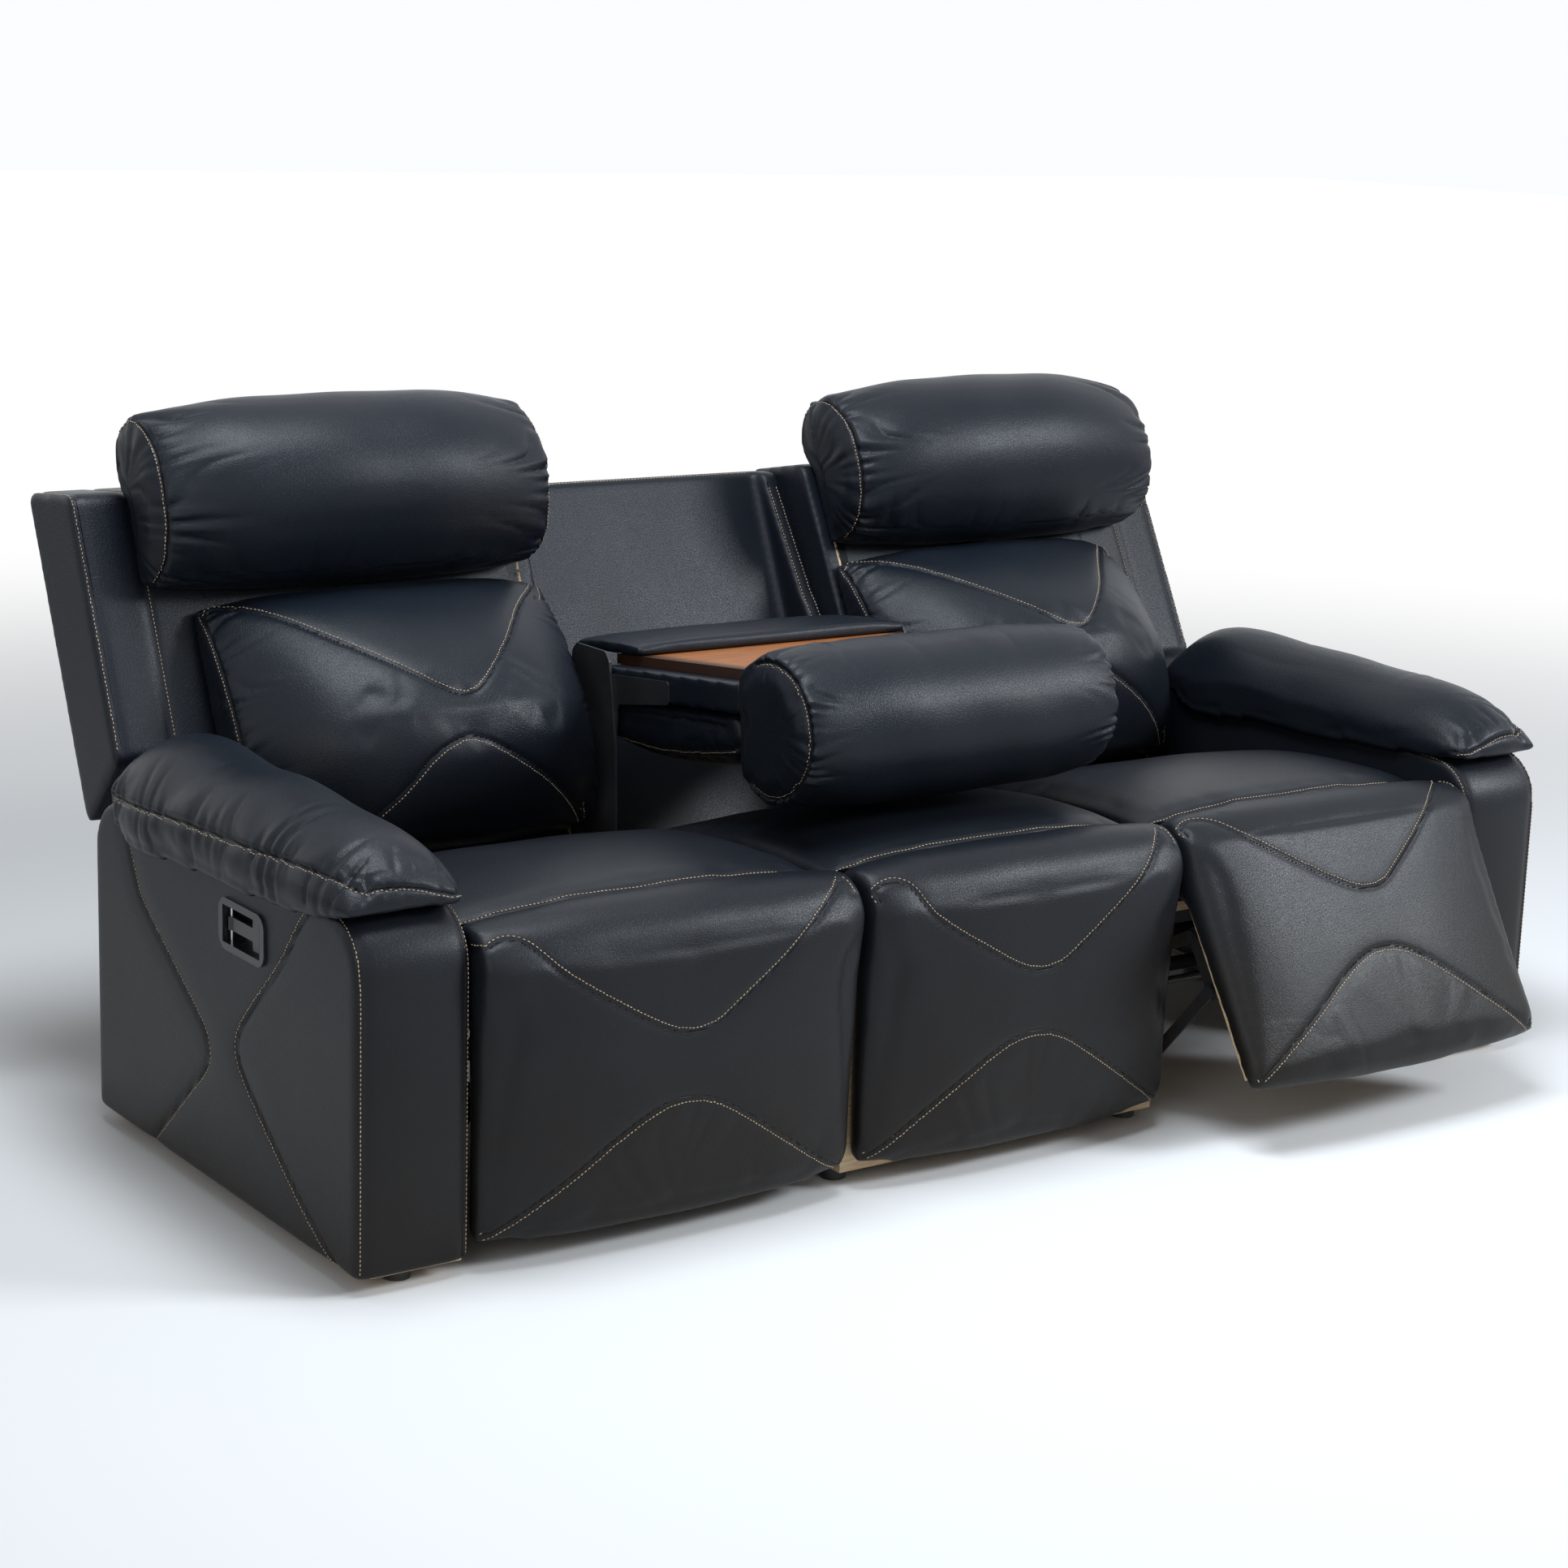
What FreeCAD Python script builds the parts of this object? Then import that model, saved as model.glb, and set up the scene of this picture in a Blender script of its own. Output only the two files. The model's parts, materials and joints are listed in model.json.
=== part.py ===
import FreeCAD, Part

import math
import os

from FreeCAD import Placement, Rotation, Vector

# Three-seat reclining sofa with a centre back that folds down into a console.
# Frame: X across the sofa, the seats face -Y, Z up, the floor at Z = 0.
# The origin is the floor point under the centre foot.

# Driving sizes, in millimetres and degrees
SIZES = {
    # Whole sofa
    "arm_width": 160,
    "outer_seat_width": 595,
    "centre_seat_width": 565,
    "arm_depth": 792,
    "arm_top": 480,
    "foot_height": 20,
    "foot_radius": 18,
    # Arms
    "arm_front_round": 75,
    "arm_rear_round": 80,
    "arm_cover_wall": 8,
    "arm_board": 18,
    "arm_side_panel": 24,
    "arm_pad_overhang": 23,
    "arm_pad_inner_overhang": 12,
    "arm_pad_front": 385,
    "arm_pad_rear": 322,
    "arm_pad_top": 594,
    "arm_pad_front_lip": 468,
    "arm_pad_rear_lip": 426,
    # Release handles
    "handle_forward": 83,
    "handle_level": 395,
    "bezel_long": 132,
    "bezel_tall": 70,
    "bezel_round": 20,
    "bezel_lip": 3.5,
    "recess_long": 108,
    "recess_tall": 50,
    "recess_depth": 22.5,
    "recess_wall": 2.5,
    "handle_pin_radius": 2,
    "handle_pin_to_end": 8,
    "paddle_barrel": 5,
    "paddle_thick": 5,
    "paddle_stem_wide": 18,
    "paddle_head_wide": 42,
    "paddle_head_long": 18,
    "finger_gap": 16,
    # Seat frames
    "seat_board": 20,
    "rail_top": 320,
    "rail_depth": 90,
    "rail_front": 345,
    "rail_rear": 215,
    "front_rail_long": 60,
    "front_rail_thick": 14,
    "strap_wide": 50,
    "strap_thick": 2,
    "strap_count": 5,
    # Seat cushions
    "cushion_side_gap": 3,
    "lip_forward": 318,
    "lip_height": 452,
    "seat_rear": 220,
    "seat_rear_height": 360,
    "seat_crown": 38,
    "seat_edge_drop": 24,
    # Footrests
    "footrest_hinge_forward": 370,
    "footrest_hinge_height": 395,
    "roll_radius": 70,
    "roll_gap": 1.5,
    "pad_low": 22,
    "pad_crown": 66,
    "pad_edge": 38,
    "board_thick": 15,
    "board_low": 60,
    "board_side": 30,
    "footrest_travel_shown": 32,
    # Footrest links
    "link_thick": 3,
    "link_gap": 4,
    "link_half_width": 9,
    "eye_radius": 11,
    "rivet_radius": 4,
    "rivet_head": 8,
    "rivet_head_thick": 1.5,
    "running_fit": 0.08,
    "plate_thick": 4,
    "swing_pivot_back": 130,
    "swing_pivot_drop": 150,
    "swing_back": 32,
    "swing_drop": 195,
    "stay_pivot_back": 270,
    "stay_pivot_drop": 140,
    "stay_drop": 110,
    "torque_tube_radius": 6,
    "torque_tube_share": 0.4,
    "cross_tube_radius": 12,
    "base_flat_wide": 28,
    "base_flat_thick": 6,
    "base_flat_front": 60,
    "base_flat_rear": 190,
    "plate_foot_front": 40,
    "plate_foot_rear": 170,
    "plate_heel_low": 150,
    "plate_heel_rear": 225,
    "plate_heel_height": 240,
    "front_tube_rear": 60,
    "front_tube_height": 70,
    "rear_tube_rear": 145,
    "rear_tube_height": 95,
    # Reclining backs
    "back_pivot_rear": 255,
    "back_pivot_height": 345,
    "back_lean": 23.5,
    "recline_shown": 4.4,
    "back_pin_radius": 6,
    "back_front": 40,
    "back_rear": 188,
    "back_top": 600,
    "shell_wall": 8,
    "shell_side_gap": 3,
    "wing_reach": 132.5,
    "wing_low_front": 210,
    "wing_low_rear": 151,
    "back_top_rise": 40,
    "back_corner_rise": 28,
    "skirt_drop": 120,
    "skirt_front": 120,
    "stile_wide": 20,
    "stile_deep": 20,
    "stile_top_gap": 40,
    "back_rail_low": 40,
    "back_rail_step": 230,
    "back_rail_count": 3,
    "back_rail_wide": 70,
    "back_rail_thick": 18,
    "back_bracket_half": 17,
    "back_bracket_strip": 18,
    "back_bracket_top": 150,
    "lumbar_side_gap": 8,
    "lumbar_arm_gap": 16,
    "lumbar_low": 40,
    "lumbar_top": 428,
    "lumbar_crown": 190,
    "headrest_low": 432,
    "headrest_top": 712,
    "headrest_crown": 150,
    "headrest_centre_gap": 18,
    "headrest_reach": 52,
    # Centre seat and fixed rear shell
    "centre_rear": 340,
    "centre_board_low": 150,
    "rear_panel_thick": 18,
    "rear_shell_top": 835,
    "cheek_wide": 30,
    "cheek_foot_height": 300,
    "cheek_waist_rear": 30,
    "cheek_waist_height": 440,
    "cheek_nose_rear": 155,
    "cheek_nose_height": 630,
    "cheek_top_depth": 150,
    # Folding console
    "console_pivot_rear": 262,
    "console_pivot_height": 505,
    "console_tilt": 5.9,
    "console_half": 270.5,
    "console_rail": 20,
    "console_rail_low": 62,
    "console_deck_low": 100,
    "console_deck_top": 111,
    "console_length": 350,
    "console_tail": 20,
    "tray_half": 240,
    "tray_thick": 15,
    "console_pad_half": 266,
    "console_pad_crown": 20,
    "cup_forward": 281,
    "cup_apart": 234,
    "cup_bore": 43,
    "cup_depth": 60,
    "cup_wall": 2.5,
    "cup_flange": 50,
    "cup_gap": 0.3,
    "roll_forward": 430,
    "roll_level": 51,
    "headrest_roll_radius": 120,
    "headrest_roll_half": 277,
    "flap_half": 245,
    "flap_front": 54,
    "flap_rear": 128,
    "flap_thick": 25,
    "hinge_plate": 4,
    "hinge_arm": 3,
    "hinge_arm_reach": 170,
    "hinge_arm_eye": 17,
    "hinge_pin_radius": 6,
    "hinge_pin_head": 10,
    "hinge_plate_edge": 278,
    "hinge_plate_long": 112,
    "hinge_plate_top": 639,
    "hinge_plate_reach": 100,
    "hinge_foot_wide": 26,
}

doc = FreeCAD.newDocument("ReclinerSofa")
sheet = doc.addObject("Spreadsheet::Sheet", "Sizes")
for row, (alias, number) in enumerate(SIZES.items(), start=1):
    sheet.set(f"A{row}", alias.replace("_", " "))
    sheet.set(f"B{row}", str(number))
    sheet.setAlias(f"B{row}", alias)
doc.recompute()


class Size:
    """A number together with the sheet expression that it comes from."""

    def __init__(self, text, value):
        self.text = text
        self.value = value

    def __float__(self):
        return float(self.value)

    def __add__(self, other):
        other = as_size(other)
        return Size(f"({self.text} + {other.text})", self.value + other.value)

    def __radd__(self, other):
        return as_size(other) + self

    def __sub__(self, other):
        other = as_size(other)
        return Size(f"({self.text} - {other.text})", self.value - other.value)

    def __rsub__(self, other):
        return as_size(other) - self

    def __mul__(self, factor):
        factor = as_size(factor)
        return Size(f"({self.text} * {factor.text})", self.value * factor.value)

    def __rmul__(self, factor):
        return as_size(factor) * self

    def __truediv__(self, factor):
        factor = as_size(factor)
        return Size(f"({self.text} / {factor.text})", self.value / factor.value)

    def __neg__(self):
        return Size(f"(0 - {self.text})", -self.value)


def as_size(number):
    """A plain number as a Size; a Size stays as it is."""
    if isinstance(number, Size):
        return number
    return Size(f"({number:.10g})", float(number))


class SheetSizes:
    """Reads the sheet's cells by name, as sizes.arm_width."""

    def __getattr__(self, alias):
        return Size(f"Sizes.{alias}", float(sheet.get(alias)))


sizes = SheetSizes()

# Places across the sofa
CENTRE_EDGE = sizes.centre_seat_width / 2
SEAT_EDGE = CENTRE_EDGE + sizes.outer_seat_width
ARM_EDGE = SEAT_EDGE + sizes.arm_width

# Hinge points in the Y-Z plane
FOOTREST_HINGE = (-sizes.footrest_hinge_forward, sizes.footrest_hinge_height)
BACK_PIVOT = (sizes.back_pivot_rear, sizes.back_pivot_height)
CONSOLE_PIVOT = (sizes.console_pivot_rear, sizes.console_pivot_height)

# Every hinge that runs across the sofa turns about this direction
ACROSS = Vector(-1, 0, 0)

SIDES = {"left": -1, "right": 1}
NODES = []


# Helpers for places

def across(side, inner, outer):
    """The X range between two distances from the middle, on one side."""
    if side > 0:
        return inner, outer
    return -outer, -inner


def layer(side, end, near, far):
    """The X range of a mechanism layer, measured inward from the seat's end."""
    if end == "arm":
        return across(side, SEAT_EDGE - far, SEAT_EDGE - near)
    return across(side, CENTRE_EDGE + near, CENTRE_EDGE + far)


def turned(pivot, offset, angle):
    """A Y-Z point at an offset from a pivot, swung forward and up by an angle."""
    sine = math.sin(math.radians(float(angle)))
    cosine = math.cos(math.radians(float(angle)))
    back, up = float(offset[0]), float(offset[1])
    return (
        float(pivot[0]) + back * cosine + up * sine,
        float(pivot[1]) - back * sine + up * cosine,
    )


def swing_pose(pivot, angle):
    """The placement that turns a piece about a hinge across the sofa."""
    centre = Vector(0, float(pivot[0]), float(pivot[1]))
    return Placement(Vector(0, 0, 0), Rotation(ACROSS, float(angle)), centre)


def local_pose(pivot, angle):
    """The placement of a piece drawn with its hinge at its own origin."""
    return Placement(Vector(0, float(pivot[0]), float(pivot[1])), Rotation(ACROSS, float(angle)))


# Helpers for pieces

def box(label, x, y, z):
    """A board or block between two planes on each axis."""
    item = doc.addObject("Part::Box", label)
    for side, axis, (low, high) in zip(("Length", "Width", "Height"), "xyz", (x, y, z)):
        item.setExpression(side, (as_size(high) - low).text)
        item.setExpression(f"Placement.Base.{axis}", as_size(low).text)
    return item


ROD_TURNS = {
    "x": Rotation(Vector(0, 1, 0), 90),
    "y": Rotation(Vector(1, 0, 0), -90),
    "z": Rotation(),
}


def rod(label, axis, centre, span, radius):
    """A round bar along one axis, with its centre given across that axis."""
    item = doc.addObject("Part::Cylinder", label)
    low, high = as_size(span[0]), as_size(span[1])
    item.setExpression("Radius", as_size(radius).text)
    item.setExpression("Height", (high - low).text)
    item.Placement = Placement(Vector(0, 0, 0), ROD_TURNS[axis])
    others = [name for name in "xyz" if name != axis]
    item.setExpression(f"Placement.Base.{axis}", low.text)
    for name, place in zip(others, centre):
        item.setExpression(f"Placement.Base.{name}", as_size(place).text)
    return item


def corner_arc(before, corner, after, radius):
    """The start, middle and end of the arc that rounds one corner."""
    to_before = (before - corner).normalize()
    to_after = (after - corner).normalize()
    half = to_before.getAngle(to_after) / 2
    setback = radius / math.tan(half)
    bisector = (to_before + to_after).normalize()
    centre = corner + bisector * (radius / math.sin(half))
    return corner + to_before * setback, centre - bisector * radius, corner + to_after * setback


def rounded_edges(outline):
    """Lines and arcs round a closed outline of (y, z) or (y, z, radius) corners."""
    corners = [Vector(float(point[0]), float(point[1]), 0) for point in outline]
    radii = [float(point[2]) if len(point) > 2 else 0 for point in outline]
    stretches = []
    for index, corner in enumerate(corners):
        if radii[index] > 0:
            following = corners[(index + 1) % len(corners)]
            stretches.append(corner_arc(corners[index - 1], corner, following, radii[index]))
        else:
            stretches.append((corner,))
    edges = []
    for index, stretch in enumerate(stretches):
        if len(stretch) == 3:
            edges.append(Part.Arc(*stretch))
        following = stretches[(index + 1) % len(stretches)]
        if stretch[-1].distanceToPoint(following[0]) > 1e-6:
            edges.append(Part.LineSegment(stretch[-1], following[0]))
    return edges


def sketched_plate(label, x, edges, holes=()):
    """A flat piece across X, padded from a sketch of its side view."""
    body = doc.addObject("PartDesign::Body", label)
    sketch = body.newObject("Sketcher::SketchObject", f"{label}_sketch")
    side_plane = next(item for item in body.Origin.OriginFeatures if item.Role == "YZ_Plane")
    sketch.AttachmentSupport = [(side_plane, "")]
    sketch.MapMode = "FlatFace"
    sketch.setExpression("AttachmentOffset.Base.z", as_size(x[0]).text)
    for edge in edges:
        sketch.addGeometry(edge, False)
    for y, z, radius in holes:
        centre = Vector(float(y), float(z), 0)
        sketch.addGeometry(Part.Circle(centre, Vector(0, 0, 1), float(radius)), False)
    pad = body.newObject("PartDesign::Pad", f"{label}_pad")
    pad.Profile = sketch
    pad.setExpression("Length", (as_size(x[1]) - x[0]).text)
    return body


def plate(label, x, outline, holes=()):
    """A flat piece with straight sides and rounded corners."""
    return sketched_plate(label, x, rounded_edges(outline), holes)


def link_bar(label, x, start, end, holes):
    """A flat link with round ends between two pivots."""
    first = Vector(float(start[0]), float(start[1]), 0)
    last = Vector(float(end[0]), float(end[1]), 0)
    along = (last - first).normalize()
    sideways = Vector(-along.y, along.x, 0)
    half = float(sizes.link_half_width)
    edges = [
        Part.LineSegment(first + sideways * half, last + sideways * half),
        Part.Arc(last + sideways * half, last + along * half, last - sideways * half),
        Part.LineSegment(last - sideways * half, first - sideways * half),
        Part.Arc(first - sideways * half, first - along * half, first + sideways * half),
    ]
    hole = sizes.rivet_radius + sizes.running_fit
    return sketched_plate(label, x, edges, [(y, z, hole) for y, z in holes])


def joined(label, pieces):
    """Several shapes welded into one piece."""
    item = doc.addObject("Part::MultiFuse", label)
    item.Shapes = pieces
    return item


def without(label, base, tools):
    """A piece with one or more shapes cut away."""
    item = doc.addObject("Part::Cut", label)
    item.Base = base
    item.Tool = tools[0] if len(tools) == 1 else joined(f"{label}_tools", tools)
    return item


def shaped(label, shape):
    """A piece whose curved form is worked out from the sheet's sizes."""
    item = doc.addObject("Part::Feature", label)
    item.Shape = shape
    return item


def sub_part(label, pieces, pose=None):
    """Names a finished sub-part: one piece, or a group of separate solids."""
    if len(pieces) == 1 and pose is None:
        item = pieces[0]
    else:
        item = doc.addObject("Part::Compound", label)
        item.Links = pieces
        if pose is not None:
            item.Placement = pose
    item.Label = label
    NODES.append(item)
    return item


# Helpers for soft forms

STATIONS = (-1, -0.86, -0.45, 0, 0.45, 0.86, 1)
LONG_STATIONS = (-1, -0.96, -0.85, -0.5, 0, 0.5, 0.85, 0.96, 1)


def section(x, start, steps):
    """A closed wire at one X; a step is (end,) for a line or (middle, end) for an arc."""
    def place(point):
        return Vector(float(x), float(point[0]), float(point[1]))

    edges = []
    current = place(start)
    for step in steps:
        points = [place(point) for point in step]
        if len(points) == 1:
            edges.append(Part.LineSegment(current, points[0]).toShape())
        else:
            edges.append(Part.Arc(current, points[0], points[1]).toShape())
        current = points[-1]
    return Part.Wire(edges)


def lofted(x_range, draw):
    """A solid through the sections that draw(x, station) gives between two ends."""
    low, high = float(x_range[0]), float(x_range[1])
    middle, half = (low + high) / 2, (high - low) / 2
    wires = [draw(middle + half * station, station) for station in STATIONS]
    return Part.makeLoft(wires, True, False)


def drawn_in(station, power=3):
    """How far a cushion is drawn in at a station: 0 at its middle, 1 at its ends."""
    return abs(station) ** power


def roll_circle(x, centre, radius):
    """A full circle as four quarter arcs."""
    y, z = float(centre[0]), float(centre[1])
    slant = radius * math.sqrt(0.5)
    return section(x, (y, z - radius), [
        ((y + slant, z - slant), (y + radius, z)),
        ((y + slant, z + slant), (y, z + radius)),
        ((y - slant, z + slant), (y - radius, z)),
        ((y - slant, z - slant), (y, z - radius)),
    ])


# Arms

def arm_outline(inset):
    """The arm's side view, or the same outline drawn in by a wall."""
    half = sizes.arm_depth / 2 - inset
    top = sizes.arm_top - inset
    return [
        (-half, sizes.foot_height),
        (half, sizes.foot_height),
        (half, top, sizes.arm_rear_round - inset),
        (-half, top, sizes.arm_front_round - inset),
    ]


def make_arm_frame(name, side):
    """Boards inside the arm, all under the leather."""
    wall, board = sizes.arm_cover_wall, sizes.arm_board
    inner, outer = SEAT_EDGE + wall, ARM_EDGE - sizes.arm_side_panel
    half = sizes.arm_depth / 2 - wall
    low = sizes.foot_height
    straight = sizes.arm_top - sizes.arm_rear_round
    sub_part(f"arm_frame_{name}", [
        box(f"arm_{name}_bottom", across(side, inner, outer), (-half, half), (low, low + board)),
        box(f"arm_{name}_inner", across(side, inner, inner + board),
            (-half + board, half - board), (low + board, straight)),
        box(f"arm_{name}_outer", across(side, outer - board, outer),
            (-half + board, half - board), (low + board, straight)),
        box(f"arm_{name}_front", across(side, inner, outer), (-half, -half + board),
            (low + board, straight)),
        box(f"arm_{name}_rear", across(side, inner, outer), (half - board, half),
            (low + board, straight)),
        box(f"arm_{name}_middle", across(side, inner + board, outer - board),
            (-board / 2, board / 2), (low + board, sizes.arm_top - wall - board)),
        box(f"arm_{name}_top", across(side, inner, outer),
            (-half + sizes.arm_front_round, half - sizes.arm_rear_round),
            (sizes.arm_top - wall - board, sizes.arm_top - wall)),
    ])


def make_arm_cover(name, side):
    """Padded leather round the front, top, rear and inner side of the arm."""
    wall = sizes.arm_cover_wall
    outer = ARM_EDGE - sizes.arm_side_panel
    whole = plate(f"arm_cover_{name}_outside", across(side, SEAT_EDGE, outer), arm_outline(0))
    hollow = plate(f"arm_cover_{name}_hollow", across(side, SEAT_EDGE + wall, outer), arm_outline(wall))
    sub_part(f"arm_cover_{name}", [without(f"arm_cover_{name}", whole, [hollow])])


def handle_centre():
    """The middle of the handle's plate on the arm's side, as Y and Z."""
    return -sizes.handle_forward, sizes.handle_level


def make_arm_side_panel(name, side):
    """The padded outer side of the arm, with the window for the handle."""
    inner = ARM_EDGE - sizes.arm_side_panel
    y, z = handle_centre()
    half_long = sizes.recess_long / 2 + sizes.recess_wall + sizes.cup_gap
    half_tall = sizes.recess_tall / 2 + sizes.recess_wall + sizes.cup_gap
    panel = plate(f"arm_side_{name}_panel", across(side, inner, ARM_EDGE), arm_outline(0))
    window = box(f"arm_side_{name}_window", across(side, inner, ARM_EDGE),
                 (y - half_long, y + half_long), (z - half_tall, z + half_tall))
    sub_part(f"arm_side_panel_{name}", [without(f"arm_side_{name}_cut", panel, [window])])


def arm_pad_section(x_middle, x_half):
    """Draws the arm pad's sections, which run across the arm along its length."""
    front, rear = -float(sizes.arm_pad_front), float(sizes.arm_pad_rear)
    top = float(sizes.arm_pad_top)
    front_lip, rear_lip = float(sizes.arm_pad_front_lip), float(sizes.arm_pad_rear_lip)
    base = float(sizes.arm_top)

    def draw(station):
        """Station -1 is the front end and 1 the rear end."""
        y = (front + rear) / 2 + station * (rear - front) / 2
        end = drawn_in(station, 8)
        share = (station + 1) / 2
        lip = front_lip + (rear_lip - front_lip) * share
        blunt = base + 28 + 26 * share
        crest = blunt + (top - 26 * (1 - share) * (1 - share) - blunt) * (1 - end)
        lip = lip + (base + 4 - lip) * end
        half = x_half * (1 - 0.16 * end)
        shoulder = (lip + crest) / 2
        bulge = half * 0.93

        def place(x, z):
            return Vector(x_middle + x, y, z)

        points = [
            (-half * 0.9, lip), (half * 0.9, lip),
            (half, (lip + shoulder) / 2), (bulge, shoulder),
            (0, crest), (-bulge, shoulder), (-half, (lip + shoulder) / 2),
        ]
        low_left, low_right, right, upper_right, crown, upper_left, left = [
            place(x, z) for x, z in points
        ]
        return Part.Wire([
            Part.LineSegment(low_left, low_right).toShape(),
            Part.Arc(low_right, right, upper_right).toShape(),
            Part.Arc(upper_right, crown, upper_left).toShape(),
            Part.Arc(upper_left, left, low_left).toShape(),
        ])

    return draw


def make_arm_pad(name, side):
    """The pillow on top of the arm, which laps over both of its sides."""
    inner, outer = SEAT_EDGE - sizes.arm_pad_inner_overhang, ARM_EDGE + sizes.arm_pad_overhang
    low, high = across(side, inner, outer)
    draw = arm_pad_section(float(low + high) / 2, float(high - low) / 2)
    wires = [draw(station) for station in LONG_STATIONS]
    pillow = shaped(f"arm_pad_{name}_pillow", Part.makeLoft(wires, True, False))
    gap = sizes.cup_gap
    arm_low, arm_high = across(side, SEAT_EDGE - gap, ARM_EDGE + gap)
    room = box(f"arm_pad_{name}_room", (arm_low, arm_high),
               (-sizes.arm_depth, sizes.arm_depth), (as_size(0), sizes.arm_top))
    sub_part(f"arm_pad_{name}", [without(f"arm_pad_{name}_cut", pillow, [room])])


# Release handles

def make_handle(name, side):
    """A recessed release on the arm's outer side: bezel, pin and T-shaped paddle."""
    y, z = handle_centre()
    lip_face = ARM_EDGE + sizes.bezel_lip
    floor_face = lip_face - sizes.recess_depth
    half_long, half_tall = sizes.recess_long / 2, sizes.recess_tall / 2
    wall = sizes.recess_wall
    corner = sizes.bezel_round
    rim = plate(f"bezel_{name}_rim", across(side, ARM_EDGE, lip_face), [
        (y - sizes.bezel_long / 2, z - sizes.bezel_tall / 2, corner),
        (y + sizes.bezel_long / 2, z - sizes.bezel_tall / 2, corner),
        (y + sizes.bezel_long / 2, z + sizes.bezel_tall / 2, corner),
        (y - sizes.bezel_long / 2, z + sizes.bezel_tall / 2, corner),
    ])
    cup = box(f"bezel_{name}_cup", across(side, floor_face - wall, lip_face),
              (y - half_long - wall, y + half_long + wall), (z - half_tall - wall, z + half_tall + wall))
    recess = box(f"bezel_{name}_recess", across(side, floor_face, lip_face + wall),
                 (y - half_long, y + half_long), (z - half_tall, z + half_tall))
    bezel = without(f"bezel_{name}_cut", joined(f"bezel_{name}_solid", [rim, cup]), [recess])
    sub_part(f"handle_bezel_{name}", [bezel])

    pin_y = y + half_long - sizes.handle_pin_to_end
    pin_x = lip_face - 2 * sizes.paddle_barrel
    pin_at = pin_x if side > 0 else -pin_x
    pin = rod(f"handle_pin_{name}", "z", (pin_at, pin_y), (z - half_tall, z + half_tall),
              sizes.handle_pin_radius)
    sub_part(f"handle_pin_{name}", [pin])

    stem_half = sizes.paddle_stem_wide / 2
    head_y = y - half_long + sizes.finger_gap
    stem_x = across(side, pin_x - sizes.paddle_thick / 2, pin_x + sizes.paddle_thick / 2)
    barrel = rod(f"paddle_{name}_barrel", "z", (pin_at, pin_y), (z - stem_half, z + stem_half),
                 sizes.paddle_barrel)
    stem = box(f"paddle_{name}_stem", stem_x, (head_y, pin_y), (z - stem_half, z + stem_half))
    head = box(f"paddle_{name}_head", stem_x, (head_y, head_y + sizes.paddle_head_long),
               (z - sizes.paddle_head_wide / 2, z + sizes.paddle_head_wide / 2))
    bore = rod(f"paddle_{name}_bore", "z", (pin_at, pin_y), (z - half_tall, z + half_tall),
               sizes.handle_pin_radius + sizes.running_fit)
    paddle = without(f"paddle_{name}_cut", joined(f"paddle_{name}_solid", [barrel, stem, head]), [bore])
    sub_part(f"handle_paddle_{name}", [paddle])


# Seats

def seat_sides(name):
    """The X range of a seat's place between its neighbours."""
    if name == "centre":
        return -CENTRE_EDGE, CENTRE_EDGE
    return across(SIDES[name], CENTRE_EDGE, SEAT_EDGE)


def cushion_range(name):
    """The X range of a seat's cushions, clear of the neighbours."""
    low, high = seat_sides(name)
    return low + sizes.cushion_side_gap, high - sizes.cushion_side_gap


def make_seat_frame(name):
    """Wooden rails of an outer seat, bolted between its neighbours."""
    low, high = seat_sides(name)
    board, top = sizes.seat_board, sizes.rail_top
    front, rear = -sizes.rail_front, sizes.rail_rear
    plates = board + sizes.plate_thick
    rails = (top - sizes.rail_depth, top)
    sub_part(f"seat_frame_{name}", [
        box(f"seat_{name}_low_rail", (low, low + board), (front, rear), rails),
        box(f"seat_{name}_high_rail", (high - board, high), (front, rear), rails),
        box(f"seat_{name}_front_rail", (low + board, high - board),
            (front, front + sizes.front_rail_long), (top - sizes.front_rail_thick, top)),
        box(f"seat_{name}_rear_rail", (low + plates, high - plates), (rear - board, rear),
            (top - sizes.rail_depth * 2 / 3, top)),
    ])


def make_webbing(name):
    """Straps that carry the seat cushion, from the front rail to the rear rail."""
    low, high = seat_sides(name)
    room = sizes.seat_board + sizes.plate_thick
    start, width = low + room, high - low - 2 * room
    count = round(float(sizes.strap_count))
    straps = []
    for index in range(count):
        middle = start + width * ((index + 0.5) / count)
        straps.append(box(f"strap_{name}_{index + 1}",
                          (middle - sizes.strap_wide / 2, middle + sizes.strap_wide / 2),
                          (-sizes.rail_front + sizes.seat_board, sizes.rail_rear),
                          (sizes.rail_top, sizes.rail_top + sizes.strap_thick)))
    sub_part(f"seat_webbing_{name}", straps)


def roll_size(station, gap=0.0):
    """Radius of the rolled front edge of a seat, slightly drawn in at its ends."""
    return float(sizes.roll_radius) * (1 - 0.2 * drawn_in(station)) + gap


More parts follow.
